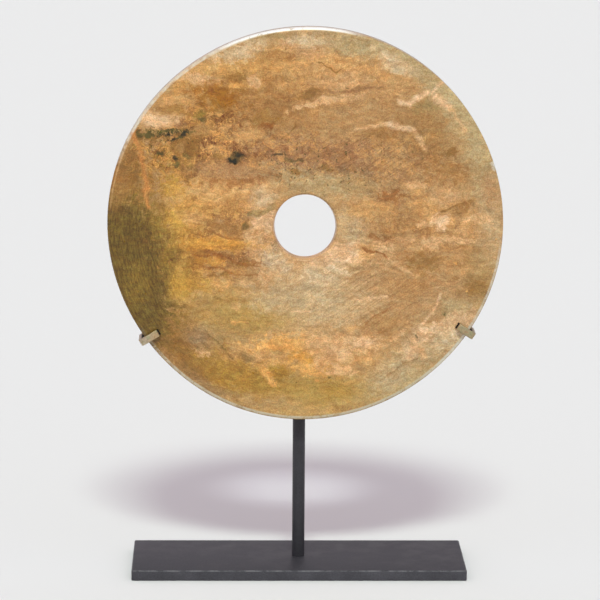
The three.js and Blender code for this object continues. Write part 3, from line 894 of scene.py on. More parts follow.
# %% Light and shade in the stone
PUFF_REGIONS = [
    (28, -96, 48, 20, 0, 0.5, 0.4, 1.0),
    (98, -85, 42, 20, 20, 0.5, 0.4, 1.0),
    (30, -22, 42, 16, 0, 0.5, 0.4, 1.0),
    (105, 0, 40, 22, 0, 0.5, 0.4, 1.0),
    (-52, 4, 46, 36, 0, 0.5, 0.4, 0.9),
    (0, 122, 80, 28, 0, 0.5, 0.4, 0.8),
    (-24, -98, 60, 18, 0, 0.5, 0.4, 0.9),
]
BAND_STRETCH = (0.25, 1.0)
BAND_NOISE = (0.10, 5.0, 0.6)
BAND_SWING = 0.13
WISP_STRETCH = (0.3, 1.0)
WISP_NOISE = (0.42, 5.0, 0.7)
WISP_SWING = 0.24
MOTTLE_NOISE = (0.33, 6.0, 0.72)
MOTTLE_SWING = 0.13
GRAIN_NOISE = (0.95, 3.0, 0.7)
GRAIN_SWING = 0.24
PUFF_NOISE = (0.09, 3.0)
PUFF_WIDTH = 0.13
PUFF_DARK = -0.17
PUFF_LIGHT = 0.08
NOISE_RANGE = (0.3, 0.7)


def swing(pattern, amount):
    return stone_spread(pattern, *NOISE_RANGE, 1 - amount, 1 + amount)


def shaded_by(share, change):
    return stone_calc("MULTIPLY", share, stone_calc("ADD", 1.0, change))


bands = swing(stone_noise(stretched(*BAND_STRETCH), *BAND_NOISE), BAND_SWING)
wisps = swing(stone_noise(stretched(*WISP_STRETCH), *WISP_NOISE), WISP_SWING)
mottle = swing(stone_noise(stirred, *MOTTLE_NOISE), MOTTLE_SWING)
grain = swing(stone_noise(place, *GRAIN_NOISE), GRAIN_SWING)
texture = stone_calc("MULTIPLY", stone_calc("MULTIPLY", bands, wisps), mottle)
texture = stone_calc("MULTIPLY", texture, grain)
puffs = stone_spread(crossing(crinkled, *PUFF_NOISE), 0.0, PUFF_WIDTH, PUFF_DARK, PUFF_LIGHT)
puffs = stone_calc("MULTIPLY", puffs, region(PUFF_REGIONS))
texture = shaded_by(texture, puffs)
print("texture:", len(stone_tree.nodes), "nodes")

# %% [markdown]
# Polishing left fine strokes: along the rim in the dark left margin, and aslant across the lower right.
# Both are noises drawn out long in one direction. The finished shares are then multiplied into the
# colour. A dark share takes more blue away than red, because thin brown stain does that.

# %% Polish strokes
STROKES_LEFT = [
    (-140, -40, 42, 70, 0, 0.5, 0.2, 1.0),
    (-62, -108, 56, 30, -20, 0.6, 0.2, 0.4),
]
STROKES_RIGHT = [
    (48, -56, 56, 34, 0, 0.7, 0.2, 1.0),
    (92, -104, 44, 22, 30, 0.6, 0.2, 0.5),
    (50, 50, 56, 20, 0, 0.6, 0.2, 1.0),
]
STROKE_SLANT = math.radians(34)
STROKE_ROUND = 26.0
LEFT_NOISE = (0.75, 3.0, 0.6)
LEFT_SWING = 0.45
RIGHT_STRETCH = (0.07, 0.3, 0.9)
RIGHT_NOISE = (1.0, 3.0, 0.6)
RIGHT_SWING = 0.18
WARMTH_STRETCH = (0.5, 1.0)
WARMTH_NOISE = (0.2, 6.0, 0.75)
WARMTH_SWING = 0.09
RED_POWER = 0.8
BLUE_POWER = 1.3
TINT_SCALE = 0.8
TINT_SHARE = 0.16

place_parts = node(stone_tree, "SeparateXYZ", {0: place}).outputs
round_angle = stone_calc("ARCTAN2", place_parts["Z"], place_parts["X"])
flat_offset = stone_vector("MULTIPLY", place, (1, 0, 1))
round_reach = vector_step(stone_tree, "LENGTH", flat_offset).outputs["Value"]
round_place = node(
    stone_tree, "CombineXYZ", {0: stone_calc("MULTIPLY", round_angle, STROKE_ROUND), 2: round_reach},
).outputs[0]


def masked_swing(pattern, amount, rows):
    mask = region(rows)
    return stone_calc("MULTIPLY", stone_calc("SUBTRACT", swing(pattern, amount), 1.0), mask)


left_swing = masked_swing(stone_noise(round_place, *LEFT_NOISE), LEFT_SWING, STROKES_LEFT)
slanted = node(stone_tree, "VectorRotate", {"Vector": place, "Angle": STROKE_SLANT}, rotation_type="Y_AXIS")
slanted = stone_vector("MULTIPLY", slanted.outputs[0], RIGHT_STRETCH)
right_swing = masked_swing(stone_noise(slanted, *RIGHT_NOISE), RIGHT_SWING, STROKES_RIGHT)
texture = shaded_by(shaded_by(texture, left_swing), right_swing)
warmth = stone_noise(stretched(*WARMTH_STRETCH), *WARMTH_NOISE)
warmth = stone_spread(warmth, *NOISE_RANGE, -WARMTH_SWING, WARMTH_SWING)
red_share = shaded_by(stone_calc("POWER", texture, RED_POWER), warmth)
cool = stone_calc("SUBTRACT", 1.0, warmth)
blue_share = stone_calc("MULTIPLY", stone_calc("POWER", texture, BLUE_POWER), cool)
texture_colour = node(stone_tree, "CombineXYZ", {0: red_share, 1: texture, 2: blue_share}).outputs[0]
stone_colour = blend(stone_tree, 1.0, stone_colour, texture_colour, "MULTIPLY")
tint = fractal(stone_tree, place, TINT_SCALE, 2.0, 0.6).outputs["Color"]
stone_colour = blend(stone_tree, TINT_SHARE, stone_colour, tint, "OVERLAY")
print("strokes:", len(stone_tree.nodes), "nodes")

# %% [markdown]
# Parts of the rim are painted pale as highlights, standing in for the light its polished edge catches:
# white at the top, milky at the upper left, and grey-green below, where the downward chamfer is painted
# lighter than the light makes it. The disc's mesh carries the distance from the rim, in millimetres, as
# an attribute. On the rim's wall the depth behind the front is taken off that distance, so a painted
# highlight can reach over the edge and stop short of the thin brown line at the back. A row says: turn
# from the top, where the highlight is faint and full, where it starts and ends, colour, strength,
# evenness.

# %% Painted rim highlights
RIM_PAINTED_HIGHLIGHTS = [
    (-42, 32, 18, -1.6, 2.6, "rim_pale", 0.8, 0.7),
    (-6, 24, 13, -1.6, 1.8, "rim_white_highlight", 0.95, -0.5),
    (175, 66, 44, 0.8, 3.2, "rim_green_painted_light", 0.8, 0.0),
    (118, 26, 14, 0.6, 2.6, "rim_pale", 0.6, 0.2),
    (-73, 14, 8, 1.6, 3.0, "cream", 0.6, 0.4),
]
WALL_FRONT = 6.5
WALL_SHARE = 0.25
BAND_RISE = 0.5
BAND_FALL = 1.2
BAND_THINNEST = 0.35
BAND_ROUGHEST = -0.6
LOW_LINE = (0.1, 0.6, 0.4)
LOW_SIDE = (-0.1, 0.3)
HIGH_LINE = (-2.9, -2.0, 0.9)
HIGH_SIDE = (-0.6, -0.2)
POLISH_RANGE = (0.8, 1.2)
POLISH_DULL = 0.34
POLISH_BRIGHT = 0.26
STONE_IOR = 1.61
STONE_GLOSS = 0.3

from_rim = node(stone_tree, "Attribute", attribute_name="from_rim").outputs["Fac"]
rim_way = vector_step(stone_tree, "NORMALIZE", stone_vector("MULTIPLY", place, (1, 0, 1))).outputs[0]
behind_front = stone_calc("MAXIMUM", stone_calc("ADD", place_parts["Y"], WALL_FRONT), 0.0)
from_outline = stone_calc("SUBTRACT", from_rim, stone_calc("MULTIPLY", behind_front, WALL_SHARE))


def rim_facing(way):
    return vector_step(stone_tree, "DOT_PRODUCT", rim_way, way).outputs["Value"]


def painted_rim_highlight(below, turn_degrees, faint, full, start, end, colour, strength, even):
    turn = math.radians(turn_degrees)
    facing = rim_facing((math.sin(turn), 0.0, math.cos(turn)))
    share = stone_spread(facing, math.cos(math.radians(faint)), math.cos(math.radians(full)), 0.0, strength)
    rise = stone_spread(from_outline, start - BAND_RISE, start)
    fall = stone_spread(from_outline, end - BAND_FALL, end, 1.0, 0.0)
    highlight_mask = stone_calc("MULTIPLY", share, stone_calc("MULTIPLY", rise, fall))
    highlight_breakup = stone_spread(raggedness, BAND_ROUGHEST, even, BAND_THINNEST, 1.0)
    return blend(stone_tree, stone_calc("MULTIPLY", highlight_mask, highlight_breakup), below, STONE[colour])


for highlight_row in RIM_PAINTED_HIGHLIGHTS:
    stone_colour = painted_rim_highlight(stone_colour, *highlight_row)
low_side = rim_facing((0.0, 0.0, -1.0))
low_line = stone_calc("MULTIPLY", stone_spread(low_side, *LOW_SIDE), stone_spread(from_rim, *LOW_LINE, 0.0))
high_side = stone_spread(low_side, *HIGH_SIDE, 1.0, 0.0)
high_line = stone_calc("MULTIPLY", high_side, stone_spread(from_outline, *HIGH_LINE, 0.0))
rim_line = stone_calc("MAXIMUM", low_line, high_line)
stone_colour = blend(stone_tree, rim_line, stone_colour, STONE["rim_line"])

stone_tree.links.new(stone_colour, stone_shader.inputs["Base Color"])
polish = stone_spread(mottle, *POLISH_RANGE, POLISH_DULL, POLISH_BRIGHT)
stone_tree.links.new(polish, stone_shader.inputs["Roughness"])
stone_shader.inputs["IOR"].default_value = STONE_IOR
stone_shader.inputs["Specular IOR Level"].default_value = STONE_GLOSS
print("stone:", len(stone_tree.nodes), "nodes")

# %% [markdown]
# ## The disc
#
# The real disc was sawn, ground and bored by hand. Its section is drawn once, as a closed loop from the
# waist of the hole round both faces and the rim, and spun about the disc's axis. The sharp loops are
# bevelled, and then the vertices are pushed to the hand-cut outline. A plain torus or cylinder would
# give neither the chamfered rim nor the waist in the hole.

# %% Disc section
DISC_RADIUS = 148.0 * MM
DISC_HALF = (disc_high.y - disc_low.y) / 2
CHAMFER_IN = 2.0 * MM
CHAMFER_BACK = 1.0 * MM
HOLE_WAIST = 23.2 * MM
HOLE_MOUTH = 24.1 * MM
MOUTH_ROUNDING = 1.2 * MM
FACE_RINGS = 40
DISC_STEPS = 320
EDGE_SOFTNESS = 0.35 * MM
SOFT_SEGMENTS = 2
SHARP_ANGLE = math.radians(12)
DOUBLES = 0.001 * MM
DISC_AXIS_X = 3.5 * MM
DISC_AXIS_Z = 269.0 * MM

disc = bmesh.new()
front_corners = [
    (HOLE_WAIST, 0.0),
    (HOLE_MOUTH, MOUTH_ROUNDING - DISC_HALF),
    (HOLE_MOUTH + MOUTH_ROUNDING, -DISC_HALF),
    (DISC_RADIUS - CHAMFER_IN, -DISC_HALF),
    (DISC_RADIUS, CHAMFER_BACK - DISC_HALF),
]
back_corners = [(radius, -along_axis) for radius, along_axis in reversed(front_corners[1:])]
loop = [disc.verts.new((radius, along_axis, 0.0)) for radius, along_axis in front_corners + back_corners]
sides = [disc.edges.new((first, second)) for first, second in zip(loop, loop[1:] + loop[:1])]
face_sides = [side for side in sides if abs(side.verts[0].co.x - side.verts[1].co.x) > DISC_RADIUS / 2]
bmesh.ops.subdivide_edges(disc, edges=face_sides, cuts=FACE_RINGS)
bmesh.ops.spin(
    disc, geom=disc.verts[:] + disc.edges[:], cent=(0, 0, 0), axis=(0, 1, 0),
    angle=2 * math.pi, steps=DISC_STEPS, use_merge=True,
)
bmesh.ops.remove_doubles(disc, verts=disc.verts[:], dist=DOUBLES)
bmesh.ops.recalc_face_normals(disc, faces=disc.faces[:])


def bevel(shape, edges, width, segments):
    bmesh.ops.bevel(
        shape, geom=edges, offset=width, offset_type="OFFSET", segments=segments, profile=0.5,
        affect="EDGES", material=-1,
    )


sharp = [side for side in disc.edges if len(side.link_faces) == 2 and side.calc_face_angle() > SHARP_ANGLE]
bevel(disc, sharp, EDGE_SOFTNESS, SOFT_SEGMENTS)
print("disc:", len(disc.faces), "faces,", len(sharp), "edges softened")

# %% [markdown]
# A hand-cut circle swells and flattens by a fraction of a millimetre. Each lobe below is one such
# swelling: how many go round, how high they are, and the angle of the first. The faces get a slow
# wave, which is what makes the gloss on them swim.

# %% Hand-cut outline
RIM_LOBES = [(2, 0.34 * MM, 61), (3, 0.26 * MM, 38), (4, 0.37 * MM, -11)]
HOLE_LOBES = [(2, 0.37 * MM, 90)]
HOLE_SHIFT = Vector((-0.4 * MM, 0.0, -1.1 * MM))
FACE_WAVE = 0.12 * MM
FACE_WAVE_SCALE = 28.0


def swelling(lobes, angle):
    return sum(height * math.cos(count * (angle - math.radians(first))) for count, height, first in lobes)


from_rim_layer = disc.verts.layers.float.new("from_rim")
for vert in disc.verts:
    angle = math.atan2(vert.co.z, vert.co.x)
    radius = math.hypot(vert.co.x, vert.co.z)
    vert[from_rim_layer] = (DISC_RADIUS - radius) / MM
    outward = min(1.0, max(0.0, (radius - HOLE_WAIST) / (DISC_RADIUS - HOLE_WAIST)))
    push = swelling(RIM_LOBES, angle) * outward + swelling(HOLE_LOBES, angle) * (1 - outward)
    vert.co += Vector((math.cos(angle), 0.0, math.sin(angle))) * push + HOLE_SHIFT * (1 - outward)
    vert.co.y += FACE_WAVE * noise.noise(vert.co * FACE_WAVE_SCALE)
bmesh.ops.translate(disc, verts=disc.verts[:], vec=(DISC_AXIS_X, disc_middle.y, DISC_AXIS_Z))
print("disc width:", round(max(v.co.x for v in disc.verts) - min(v.co.x for v in disc.verts), 4), "m")

# %% [markdown]
# Every piece is finished alike: its shape becomes a mesh with smooth faces, crisp edges and its material,
# it is hung on the body it rides on, and the solids it stands for are hidden.

# %% Finish a piece
SMOOTH_ANGLE = math.radians(30)


def finish_piece(name, shape, material, slot, *nodes):
    data = bpy.data.meshes.new(name)
    shape.to_mesh(data)
    shape.free()
    data.polygons.foreach_set("use_smooth", [True] * len(data.polygons))
    data.set_sharp_from_angle(angle=SMOOTH_ANGLE)
    data.materials.append(material)
    piece = bpy.data.objects.new(name, data)
    bpy.context.scene.collection.objects.link(piece)
    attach(piece, "root")
    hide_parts(*nodes)
    print(name + ":", len(data.polygons), "faces")
    return piece


finish_piece("stone_disc", disc, jade, "jade", "jade_disc")

# %% [markdown]
# ## The black steel
#
# Plate and post have one satin charcoal finish: a nearly black coat with a fine grain that breaks up
# its gloss, pale dust and, on the plate, a rubbed line along the upper edges. The plate's colour also
# holds painted shade: its top is painted darker than its front and ends, and darker still towards the
# right. Grain is used by the brass too, so it is a group.

# %% Grain group
GRAIN_DETAIL = 3.0
GRAIN_ROUGHNESS = 0.7
GRAIN_DEPTH = 0.1 * MM

grain_group, grain_in, grain_out = new_group(
    "fine_grain",
    [("Place", "Vector", None), ("Scale", "Float", 1500.0), ("Low", "Float", 0.9), ("High", "Float", 1.1)],
    [("Share", "Float"), ("Height", "Float")],
)
fine = fractal(grain_group, grain_in["Place"], grain_in["Scale"], GRAIN_DETAIL, GRAIN_ROUGHNESS).outputs[0]
fine_share = spread(grain_group, fine, *NOISE_RANGE, grain_in["Low"], grain_in["High"])
grain_group.links.new(fine_share, grain_out["Share"])
grain_group.links.new(fine, grain_out["Height"])


def grainy(tree, spot_place, scale, low, high):
    inputs = {"Place": spot_place, "Scale": scale, "Low": low, "High": high}
    return node(tree, "Group", inputs, node_tree=grain_group).outputs


def toned(tree, tone, share):
    share_colour = node(tree, "CombineXYZ", {0: share, 1: share, 2: share}).outputs[0]
    return blend(tree, 1.0, tone, share_colour, "MULTIPLY")


def grain_bump(tree, height, strength, shader):
    bump = node(tree, "Bump", {"Height": height, "Strength": strength, "Distance": GRAIN_DEPTH})
    tree.links.new(bump.outputs[0], shader.inputs["Normal"])


print("grain group:", len(grain_group.nodes), "nodes")

# %% Charcoal coat
COAT_GRAIN = (900.0, 0.8, 1.2)
COAT_BUMP = 0.25
CLOUD_NOISE = (45.0, 4.0, 0.6)
CLOUD_DUST = (0.35, 0.75)
WEAR_NOISE = (130.0, 5.0, 0.7)
WEAR_RANGE = (0.38, 0.62)
PAINTED_SHADE_FACING = (0.5, 0.95)
COAT_SMOOTHEST = 0.42
COAT_ROUGHEST = 0.55
COAT_RUBBED = (0.15, 0.15, 0.16, 1.0)
EDGE_BAND = 1.1 * MM
EDGE_CORE = 0.4 * EDGE_BAND
plate_low, plate_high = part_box("base_plate")


def charcoal_coat(name, colour, dusty, gloss, top_painted_shade, right_painted_shade, side_painted_shade):
    material, tree, shader = new_material(name)
    coat_place = node(tree, "TexCoord").outputs["Object"]
    coat_grain = grainy(tree, coat_place, *COAT_GRAIN)
    clouds = fractal(tree, coat_place, *CLOUD_NOISE).outputs[0]
    tone = blend(tree, spread(tree, clouds, *CLOUD_DUST), colour, dusty)
    axes = node(tree, "SeparateXYZ", {0: coat_place}).outputs
    # Painted shade: faces that look up or down take the top share, which falls from left to right, and
    # upright faces take the side share.
    normal = node(tree, "NewGeometry").outputs["True Normal"]
    facing = calc(tree, "ABSOLUTE", node(tree, "SeparateXYZ", {0: normal}).outputs["Z"])
    painted_top_shade_along_x = spread(tree, axes["X"], plate_low.x, plate_high.x, top_painted_shade, right_painted_shade)
    painted_face_shade = spread(tree, facing, *PAINTED_SHADE_FACING, side_painted_shade, painted_top_shade_along_x)
    tone = toned(tree, tone, calc(tree, "MULTIPLY", coat_grain["Share"], painted_face_shade))

    from_side = calc(tree, "SUBTRACT", plate_high.x, calc(tree, "ABSOLUTE", axes["X"]))
    from_front = calc(tree, "SUBTRACT", plate_high.y, calc(tree, "ABSOLUTE", axes["Y"]))
    from_top = calc(tree, "ABSOLUTE", calc(tree, "SUBTRACT", plate_high.z, axes["Z"]))
    from_edge = calc(tree, "ADD", calc(tree, "MINIMUM", from_side, from_front), from_top)
    wear = spread(tree, fractal(tree, coat_place, *WEAR_NOISE).outputs[0], *WEAR_RANGE)
    rubbed = calc(tree, "MULTIPLY", spread(tree, from_edge, EDGE_CORE, EDGE_BAND, 1.0, 0.0), wear)
    tree.links.new(blend(tree, rubbed, tone, COAT_RUBBED), shader.inputs["Base Color"])

    rough = spread(tree, clouds, *NOISE_RANGE, COAT_SMOOTHEST, COAT_ROUGHEST)
    tree.links.new(rough, shader.inputs["Roughness"])
    grain_bump(tree, coat_grain["Height"], COAT_BUMP, shader)
    shader.inputs["Specular IOR Level"].default_value = gloss
    return material


PLATE_TONES = {"colour": (0.050, 0.048, 0.056, 1.0), "dusty": (0.070, 0.067, 0.078, 1.0)}
POST_TONES = {"colour": (0.025, 0.024, 0.029, 1.0), "dusty": (0.036, 0.034, 0.042, 1.0)}
# Painted shade shares: the plate's top is painted darker, more so at the right; the post's shares are all
# one.
PLATE_GLOSS_AND_PAINTED_SHADE = {"gloss": 0.15, "top_painted_shade": 0.78, "right_painted_shade": 0.67, "side_painted_shade": 1.06}
POST_GLOSS_AND_PAINTED_SHADE = {"gloss": 0.35, "top_painted_shade": 1.0, "right_painted_shade": 1.0, "side_painted_shade": 1.0}
plate_coat = charcoal_coat("plate_coat", **PLATE_TONES, **PLATE_GLOSS_AND_PAINTED_SHADE)
post_coat = charcoal_coat("post_coat", **POST_TONES, **POST_GLOSS_AND_PAINTED_SHADE)
print("coats:", plate_coat.name, post_coat.name)

# %% [markdown]
# ## The plate
#
# The plate is a length of flat bar with its upright corners rounded and all its edges broken with a
# file. A box with two bevels says exactly that: the upright edges first, then the loops above and below.

# %% Plate
CORNER_ROUNDING = 1.6 * MM
EDGE_BREAK = 0.6 * MM
EDGE_SEGMENTS = 3
CORNER_SEGMENTS = 5
STEEP = 0.9

plate = bmesh.new()
bmesh.ops.create_cube(plate, size=1.0)
bmesh.ops.scale(plate, verts=plate.verts[:], vec=plate_high - plate_low)
bmesh.ops.translate(plate, verts=plate.verts[:], vec=(plate_high + plate_low) / 2)


def direction(side):
    return (side.verts[1].co - side.verts[0].co).normalized()


upright = [side for side in plate.edges if abs(direction(side).z) > STEEP]
bevel(plate, upright, CORNER_ROUNDING, CORNER_SEGMENTS)
level = [side for side in plate.edges if abs(direction(side).z) < 1 - STEEP]
level = [side for side in level if side.calc_face_angle() > SHARP_ANGLE]
bevel(plate, level, EDGE_BREAK, EDGE_SEGMENTS)
finish_piece("steel_plate", plate, plate_coat, "black_steel", "base_plate")

# %% [markdown]
# ## The post
#
# The post is round bar. Near its top the front is filed to a flat, and the brass bar lies in that
# notch. The cylinder is drawn up to the ledge, its top face is split along the flat, and only the
# larger part is drawn on up. That leaves no hidden faces inside, which a second cylinder would.

# %% Post
POST_SIDES = 64
POST_FLAT_Y = -3.2 * MM
POST_LEDGE_Z = 212.05 * MM
POST_TOP_BREAK = 0.4 * MM
post_low, post_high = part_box("post")
post_radius = post_high.x

post = bmesh.new()
stem = POST_LEDGE_Z - post_low.z
bmesh.ops.create_cone(
    post, cap_ends=True, cap_tris=False, segments=POST_SIDES,
    radius1=post_radius, radius2=post_radius, depth=stem,
)
bmesh.ops.translate(post, verts=post.verts[:], vec=(0, 0, post_low.z + stem / 2))
cap = max(post.faces, key=lambda face: face.calc_center_median().z)
bmesh.ops.bisect_plane(
    post, geom=[cap] + cap.verts[:] + cap.edges[:], plane_co=(0, POST_FLAT_Y, 0), plane_no=(0, 1, 0),
)
level_caps = [face for face in post.faces if face.normal.z > STEEP]
kept_cap = max(level_caps, key=lambda face: face.calc_area())
grown = bmesh.ops.extrude_face_region(post, geom=[kept_cap])["geom"]
grown_verts = [item for item in grown if isinstance(item, bmesh.types.BMVert)]
bmesh.ops.delete(post, geom=[kept_cap], context="FACES_ONLY")
bmesh.ops.translate(post, verts=grown_verts, vec=(0, 0, post_high.z - POST_LEDGE_Z))
bmesh.ops.recalc_face_normals(post, faces=post.faces[:])
top_loop = [side for side in post.edges if all(vert in grown_verts for vert in side.verts)]
bevel(post, top_loop, POST_TOP_BREAK, SOFT_SEGMENTS)
print("post open edges:", sum(1 for side in post.edges if len(side.link_faces) != 2))
finish_piece("steel_post", post, post_coat, "black_steel", "post")

# %% [markdown]
# ## The brass
#
# The bar is old brass, polished once and dull now. Its left end is greyed and its right end browner,
# with green and orange tarnish in the hollows of a noise. Tarnish is not metal, so it also takes the
# mirror out of the brass.

# %% Brass finish
BRASS_LEFT = (0.48, 0.39, 0.27, 1.0)
BRASS_RIGHT = (0.41, 0.33, 0.195, 1.0)
BRASS_INNER = (0.52, 0.36, 0.19, 1.0)
BRASS_GREEN = (0.20, 0.24, 0.12, 1.0)
BRASS_ORANGE = (0.40, 0.20, 0.08, 1.0)
BRASS_TURN = 90 * MM
INNER_RANGE = (111 * MM, 122 * MM)
INNER_SHARE = 0.9
GREEN_NOISE = (260.0, 4.0, 0.6)
GREEN_RANGE = (0.5, 0.68)
GREEN_SHARE = 0.5
ORANGE_SCALE = 300.0
ORANGE_SHIFT = (0.4, 0.0, 0.2)
ORANGE_RANGE = (0.52, 0.7)
ORANGE_SHARE = 0.7
BRASS_GRAIN = (1200.0, 0.85, 1.15)
BRASS_BUMP = 0.2
FULL_TARNISH = 0.7
BRASS_METAL = (0.85, 0.35)
BRASS_ROUGHNESS = (0.38, 0.6)

brass, brass_tree, brass_shader = new_material("old_brass")


def brass_spread(value, low, high, to_low=0.0, to_high=1.0):
    return spread(brass_tree, value, low, high, to_low, to_high)


brass_place = node(brass_tree, "TexCoord").outputs["Object"]
brass_x = node(brass_tree, "SeparateXYZ", {0: brass_place}).outputs["X"]
brass_tone = blend(brass_tree, brass_spread(brass_x, -BRASS_TURN, BRASS_TURN), BRASS_LEFT, BRASS_RIGHT)
from_middle = calc(brass_tree, "ABSOLUTE", calc(brass_tree, "SUBTRACT", brass_x, DISC_AXIS_X))
inner_mask = brass_spread(from_middle, *INNER_RANGE, INNER_SHARE, 0.0)
brass_tone = blend(brass_tree, inner_mask, brass_tone, BRASS_INNER)
green_noise = fractal(brass_tree, brass_place, *GREEN_NOISE).outputs[0]
green_mask = brass_spread(green_noise, *GREEN_RANGE, 0.0, GREEN_SHARE)
orange_place = vector_step(brass_tree, "ADD", brass_place, ORANGE_SHIFT).outputs[0]
orange_noise = fractal(brass_tree, orange_place, ORANGE_SCALE).outputs[0]
orange_mask = brass_spread(orange_noise, *ORANGE_RANGE, 0.0, ORANGE_SHARE)
brass_tone = blend(brass_tree, green_mask, brass_tone, BRASS_GREEN)
brass_tone = blend(brass_tree, orange_mask, brass_tone, BRASS_ORANGE)
brass_grain = grainy(brass_tree, brass_place, *BRASS_GRAIN)
brass_tone = toned(brass_tree, brass_tone, brass_grain["Share"])
brass_tree.links.new(brass_tone, brass_shader.inputs["Base Color"])
tarnish = calc(brass_tree, "MAXIMUM", green_mask, orange_mask)
brass_metal = brass_spread(tarnish, 0.0, FULL_TARNISH, *BRASS_METAL)
brass_rough = brass_spread(tarnish, 0.0, FULL_TARNISH, *BRASS_ROUGHNESS)
brass_tree.links.new(brass_metal, brass_shader.inputs["Metallic"])
brass_tree.links.new(brass_rough, brass_shader.inputs["Roughness"])
grain_bump(brass_tree, brass_grain["Height"], BRASS_BUMP, brass_shader)
print("brass:", len(brass_tree.nodes), "nodes")

# %% [markdown]
# The lining is thin, dark and matt. A coarse grain gives it the look of felt or soft rubber.

# %% Lining finish
LINING_COLOUR = (0.016, 0.013, 0.011, 1.0)
LINING_GRAIN = (1500.0, 0.5, 1.6)
LINING_ROUGHNESS = 0.9
LINING_GLOSS = 0.2

lining, lining_tree, lining_shader = new_material("dark_lining")
lining_place = node(lining_tree, "TexCoord").outputs["Object"]
lining_fuzz = grainy(lining_tree, lining_place, *LINING_GRAIN)
lining_tone = toned(lining_tree, LINING_COLOUR, lining_fuzz["Share"])
lining_tree.links.new(lining_tone, lining_shader.inputs["Base Color"])
lining_shader.inputs["Roughness"].default_value = LINING_ROUGHNESS
lining_shader.inputs["Specular IOR Level"].default_value = LINING_GLOSS
print("lining:", len(lining_tree.nodes), "nodes")

# %% [markdown]
# ## The clips
#
# One flat bar makes both clips. It starts as a tab on the disc's face, folds round the rim, runs
# inwards behind the disc, arches through the post's notch and does the same on the other side. The
# path is a list of stations, each a point and a heading. A small rectangle is drawn along it, turned
# at each station from the last heading to the next, and its edges are then broken with a bevel. A
# curve object with a bevel would twist the flat section at the folds.

# %% Clip path
DISC_PLACE = Vector((DISC_AXIS_X, disc_middle.y, DISC_AXIS_Z))
BAR_WIDTH = 5.3 * MM
BAR_THICKNESS = 2.6 * MM
BAR_OFFSET = 11.0 * MM
BAR_WEB = 3.8 * MM
BAR_BEND = 2.2 * MM
BAR_BREAK = 0.45 * MM
BAR_LEG = 14.0 * MM
BAR_ARCH_Z = 215.0 * MM
BEND_STEPS = 8
ARCH_STEPS = 30
LEFT_CLIP = {"side": -1, "angle": math.radians(36.0), "slope": math.radians(31.4), "reach": 10.6 * MM}
RIGHT_CLIP = {"side": 1, "angle": math.radians(33.4), "slope": math.radians(33.4), "reach": 9.6 * MM}


def clip_point(clip, out, depth_from_disc):
    angle = -clip["angle"] if clip["side"] > 0 else math.pi + clip["angle"]
    radius = DISC_RADIUS + swelling(RIM_LOBES, angle)
    x = radius * math.cos(angle) + clip["side"] * out * math.cos(clip["slope"])
    z = radius * math.sin(angle) - out * math.sin(clip["slope"])
    return DISC_PLACE + Vector((x, depth_from_disc, z))


def bend_stations(start, corner, end, steps):
    stations = []
    for step in range(1, steps + 1):
        share = step / steps
        point = start * (1 - share) ** 2 + corner * 2 * share * (1 - share) + end * share ** 2
        heading = (corner - start) * (1 - share) + (end - corner) * share
        stations.append((point, heading.normalized()))
    return stations


def hook_stations(clip, offset, web, tab_reach, leg_reach, bend):
    tab_end = clip_point(clip, -tab_reach, -offset)
    front_start = clip_point(clip, web - bend, -offset)
    front_end = clip_point(clip, web, bend - offset)
    back_start = clip_point(clip, web, offset - bend)
    back_end = clip_point(clip, web - bend, offset)
    leg_end = clip_point(clip, -leg_reach, offset)
    out = (front_start - tab_end).normalized()
    back = Vector((0, 1, 0))
    stations = [(tab_end, out), (front_start, out)]
    stations += bend_stations(front_start, clip_point(clip, web, -offset), front_end, BEND_STEPS)
    stations += [(back_start, back)]
    stations += bend_stations(back_start, clip_point(clip, web, offset), back_end, BEND_STEPS)
    stations += [(leg_end, -out)]
    return stations


def arch_stations(clip):
    start = clip_point(clip, -BAR_LEG, BAR_OFFSET)
    run = (BAR_ARCH_Z - start.z) / math.tan(clip["slope"])
    corner = Vector((start.x - clip["side"] * run, start.y, BAR_ARCH_Z))
    crown = Vector((0, start.y, BAR_ARCH_Z))
    return bend_stations(start, corner, crown, ARCH_STEPS)


def half_bar(clip):
    hook = hook_stations(clip, BAR_OFFSET, BAR_WEB, clip["reach"], BAR_LEG, BAR_BEND)
    return hook + arch_stations(clip)


bar_path = half_bar(LEFT_CLIP)
bar_path += [(point, -heading) for point, heading in reversed(half_bar(RIGHT_CLIP)[:-1])]
print("bar path:", len(bar_path), "stations")

# %% [markdown]
# A one-face grid is set upright at the first station. At each further one its face is extruded, moved
# there and turned to the new heading, and the face that was left inside is deleted.

# %% Draw a strip along a path
SQUARE_ANGLE = math.radians(60)


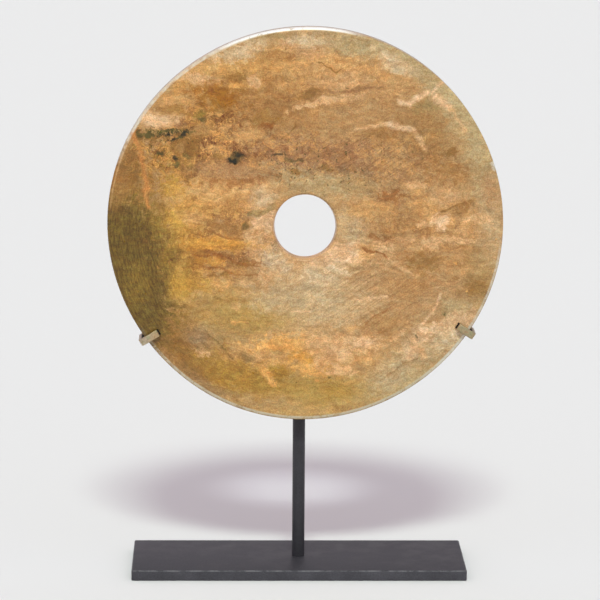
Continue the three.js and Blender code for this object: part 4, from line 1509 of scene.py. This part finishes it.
def draw_strip(path, thickness, width, edge_break):
    shape = bmesh.new()
    start, heading = path[0]
    depth_way = Vector((0, 1, 0))
    wide_way = heading.cross(depth_way)
    upright_section = Matrix((wide_way * width, depth_way * thickness, heading)).transposed().to_4x4()
    bmesh.ops.create_grid(shape, x_segments=1, y_segments=1, size=0.5)
    bmesh.ops.transform(shape, matrix=Matrix.Translation(start) @ upright_section, verts=shape.verts[:])
    end_face = shape.faces[:][0]
    for point, next_heading in path[1:]:
        old_face = end_face if len(shape.faces) > 1 else None
        grown = bmesh.ops.extrude_face_region(shape, geom=[end_face])["geom"]
        end_face = [item for item in grown if isinstance(item, bmesh.types.BMFace)][0]
        if old_face:
            bmesh.ops.delete(shape, geom=[old_face], context="FACES_ONLY")
        end_verts = end_face.verts[:]
        bmesh.ops.translate(shape, verts=end_verts, vec=point - start)
        bend = heading.rotation_difference(next_heading).to_matrix()
        bmesh.ops.rotate(shape, verts=end_verts, cent=point, matrix=bend)
        start, heading = point, next_heading
    bmesh.ops.recalc_face_normals(shape, faces=shape.faces[:])
    long_edges = [side for side in shape.edges if side.calc_face_angle() > SQUARE_ANGLE]
    bevel(shape, long_edges, edge_break, SOFT_SEGMENTS)
    open_edges = sum(1 for side in shape.edges if len(side.link_faces) != 2)
    print("strip:", len(shape.faces), "faces, open edges:", open_edges)
    return shape


bar = draw_strip(bar_path, BAR_THICKNESS, BAR_WIDTH, BAR_BREAK)
finish_piece("brass_bar", bar, brass, "brass", "clip_bar")

# %% [markdown]
# Thin dark strips line both clips, so that metal never touches the stone. Each one is a smaller hook
# inside the brass, and it shows as a dark sliver beyond the end of the tab.

# %% Linings
LINER_WIDTH = 4.7 * MM
LINER_THICKNESS = 1.6 * MM
LINER_OFFSET = 8.6 * MM
LINER_WEB = 1.4 * MM
LINER_BEND = 1.2 * MM
LINER_BREAK = 0.3 * MM
LINER_OVERHANG = 1.0 * MM

for name, clip in (("left", LEFT_CLIP), ("right", RIGHT_CLIP)):
    reach = clip["reach"] + LINER_OVERHANG
    path = hook_stations(clip, LINER_OFFSET, LINER_WEB, reach, reach, LINER_BEND)
    strip = draw_strip(path, LINER_THICKNESS, LINER_WIDTH, LINER_BREAK)
    finish_piece("lining_" + name, strip, lining, "lining", "clip_liner_" + name)
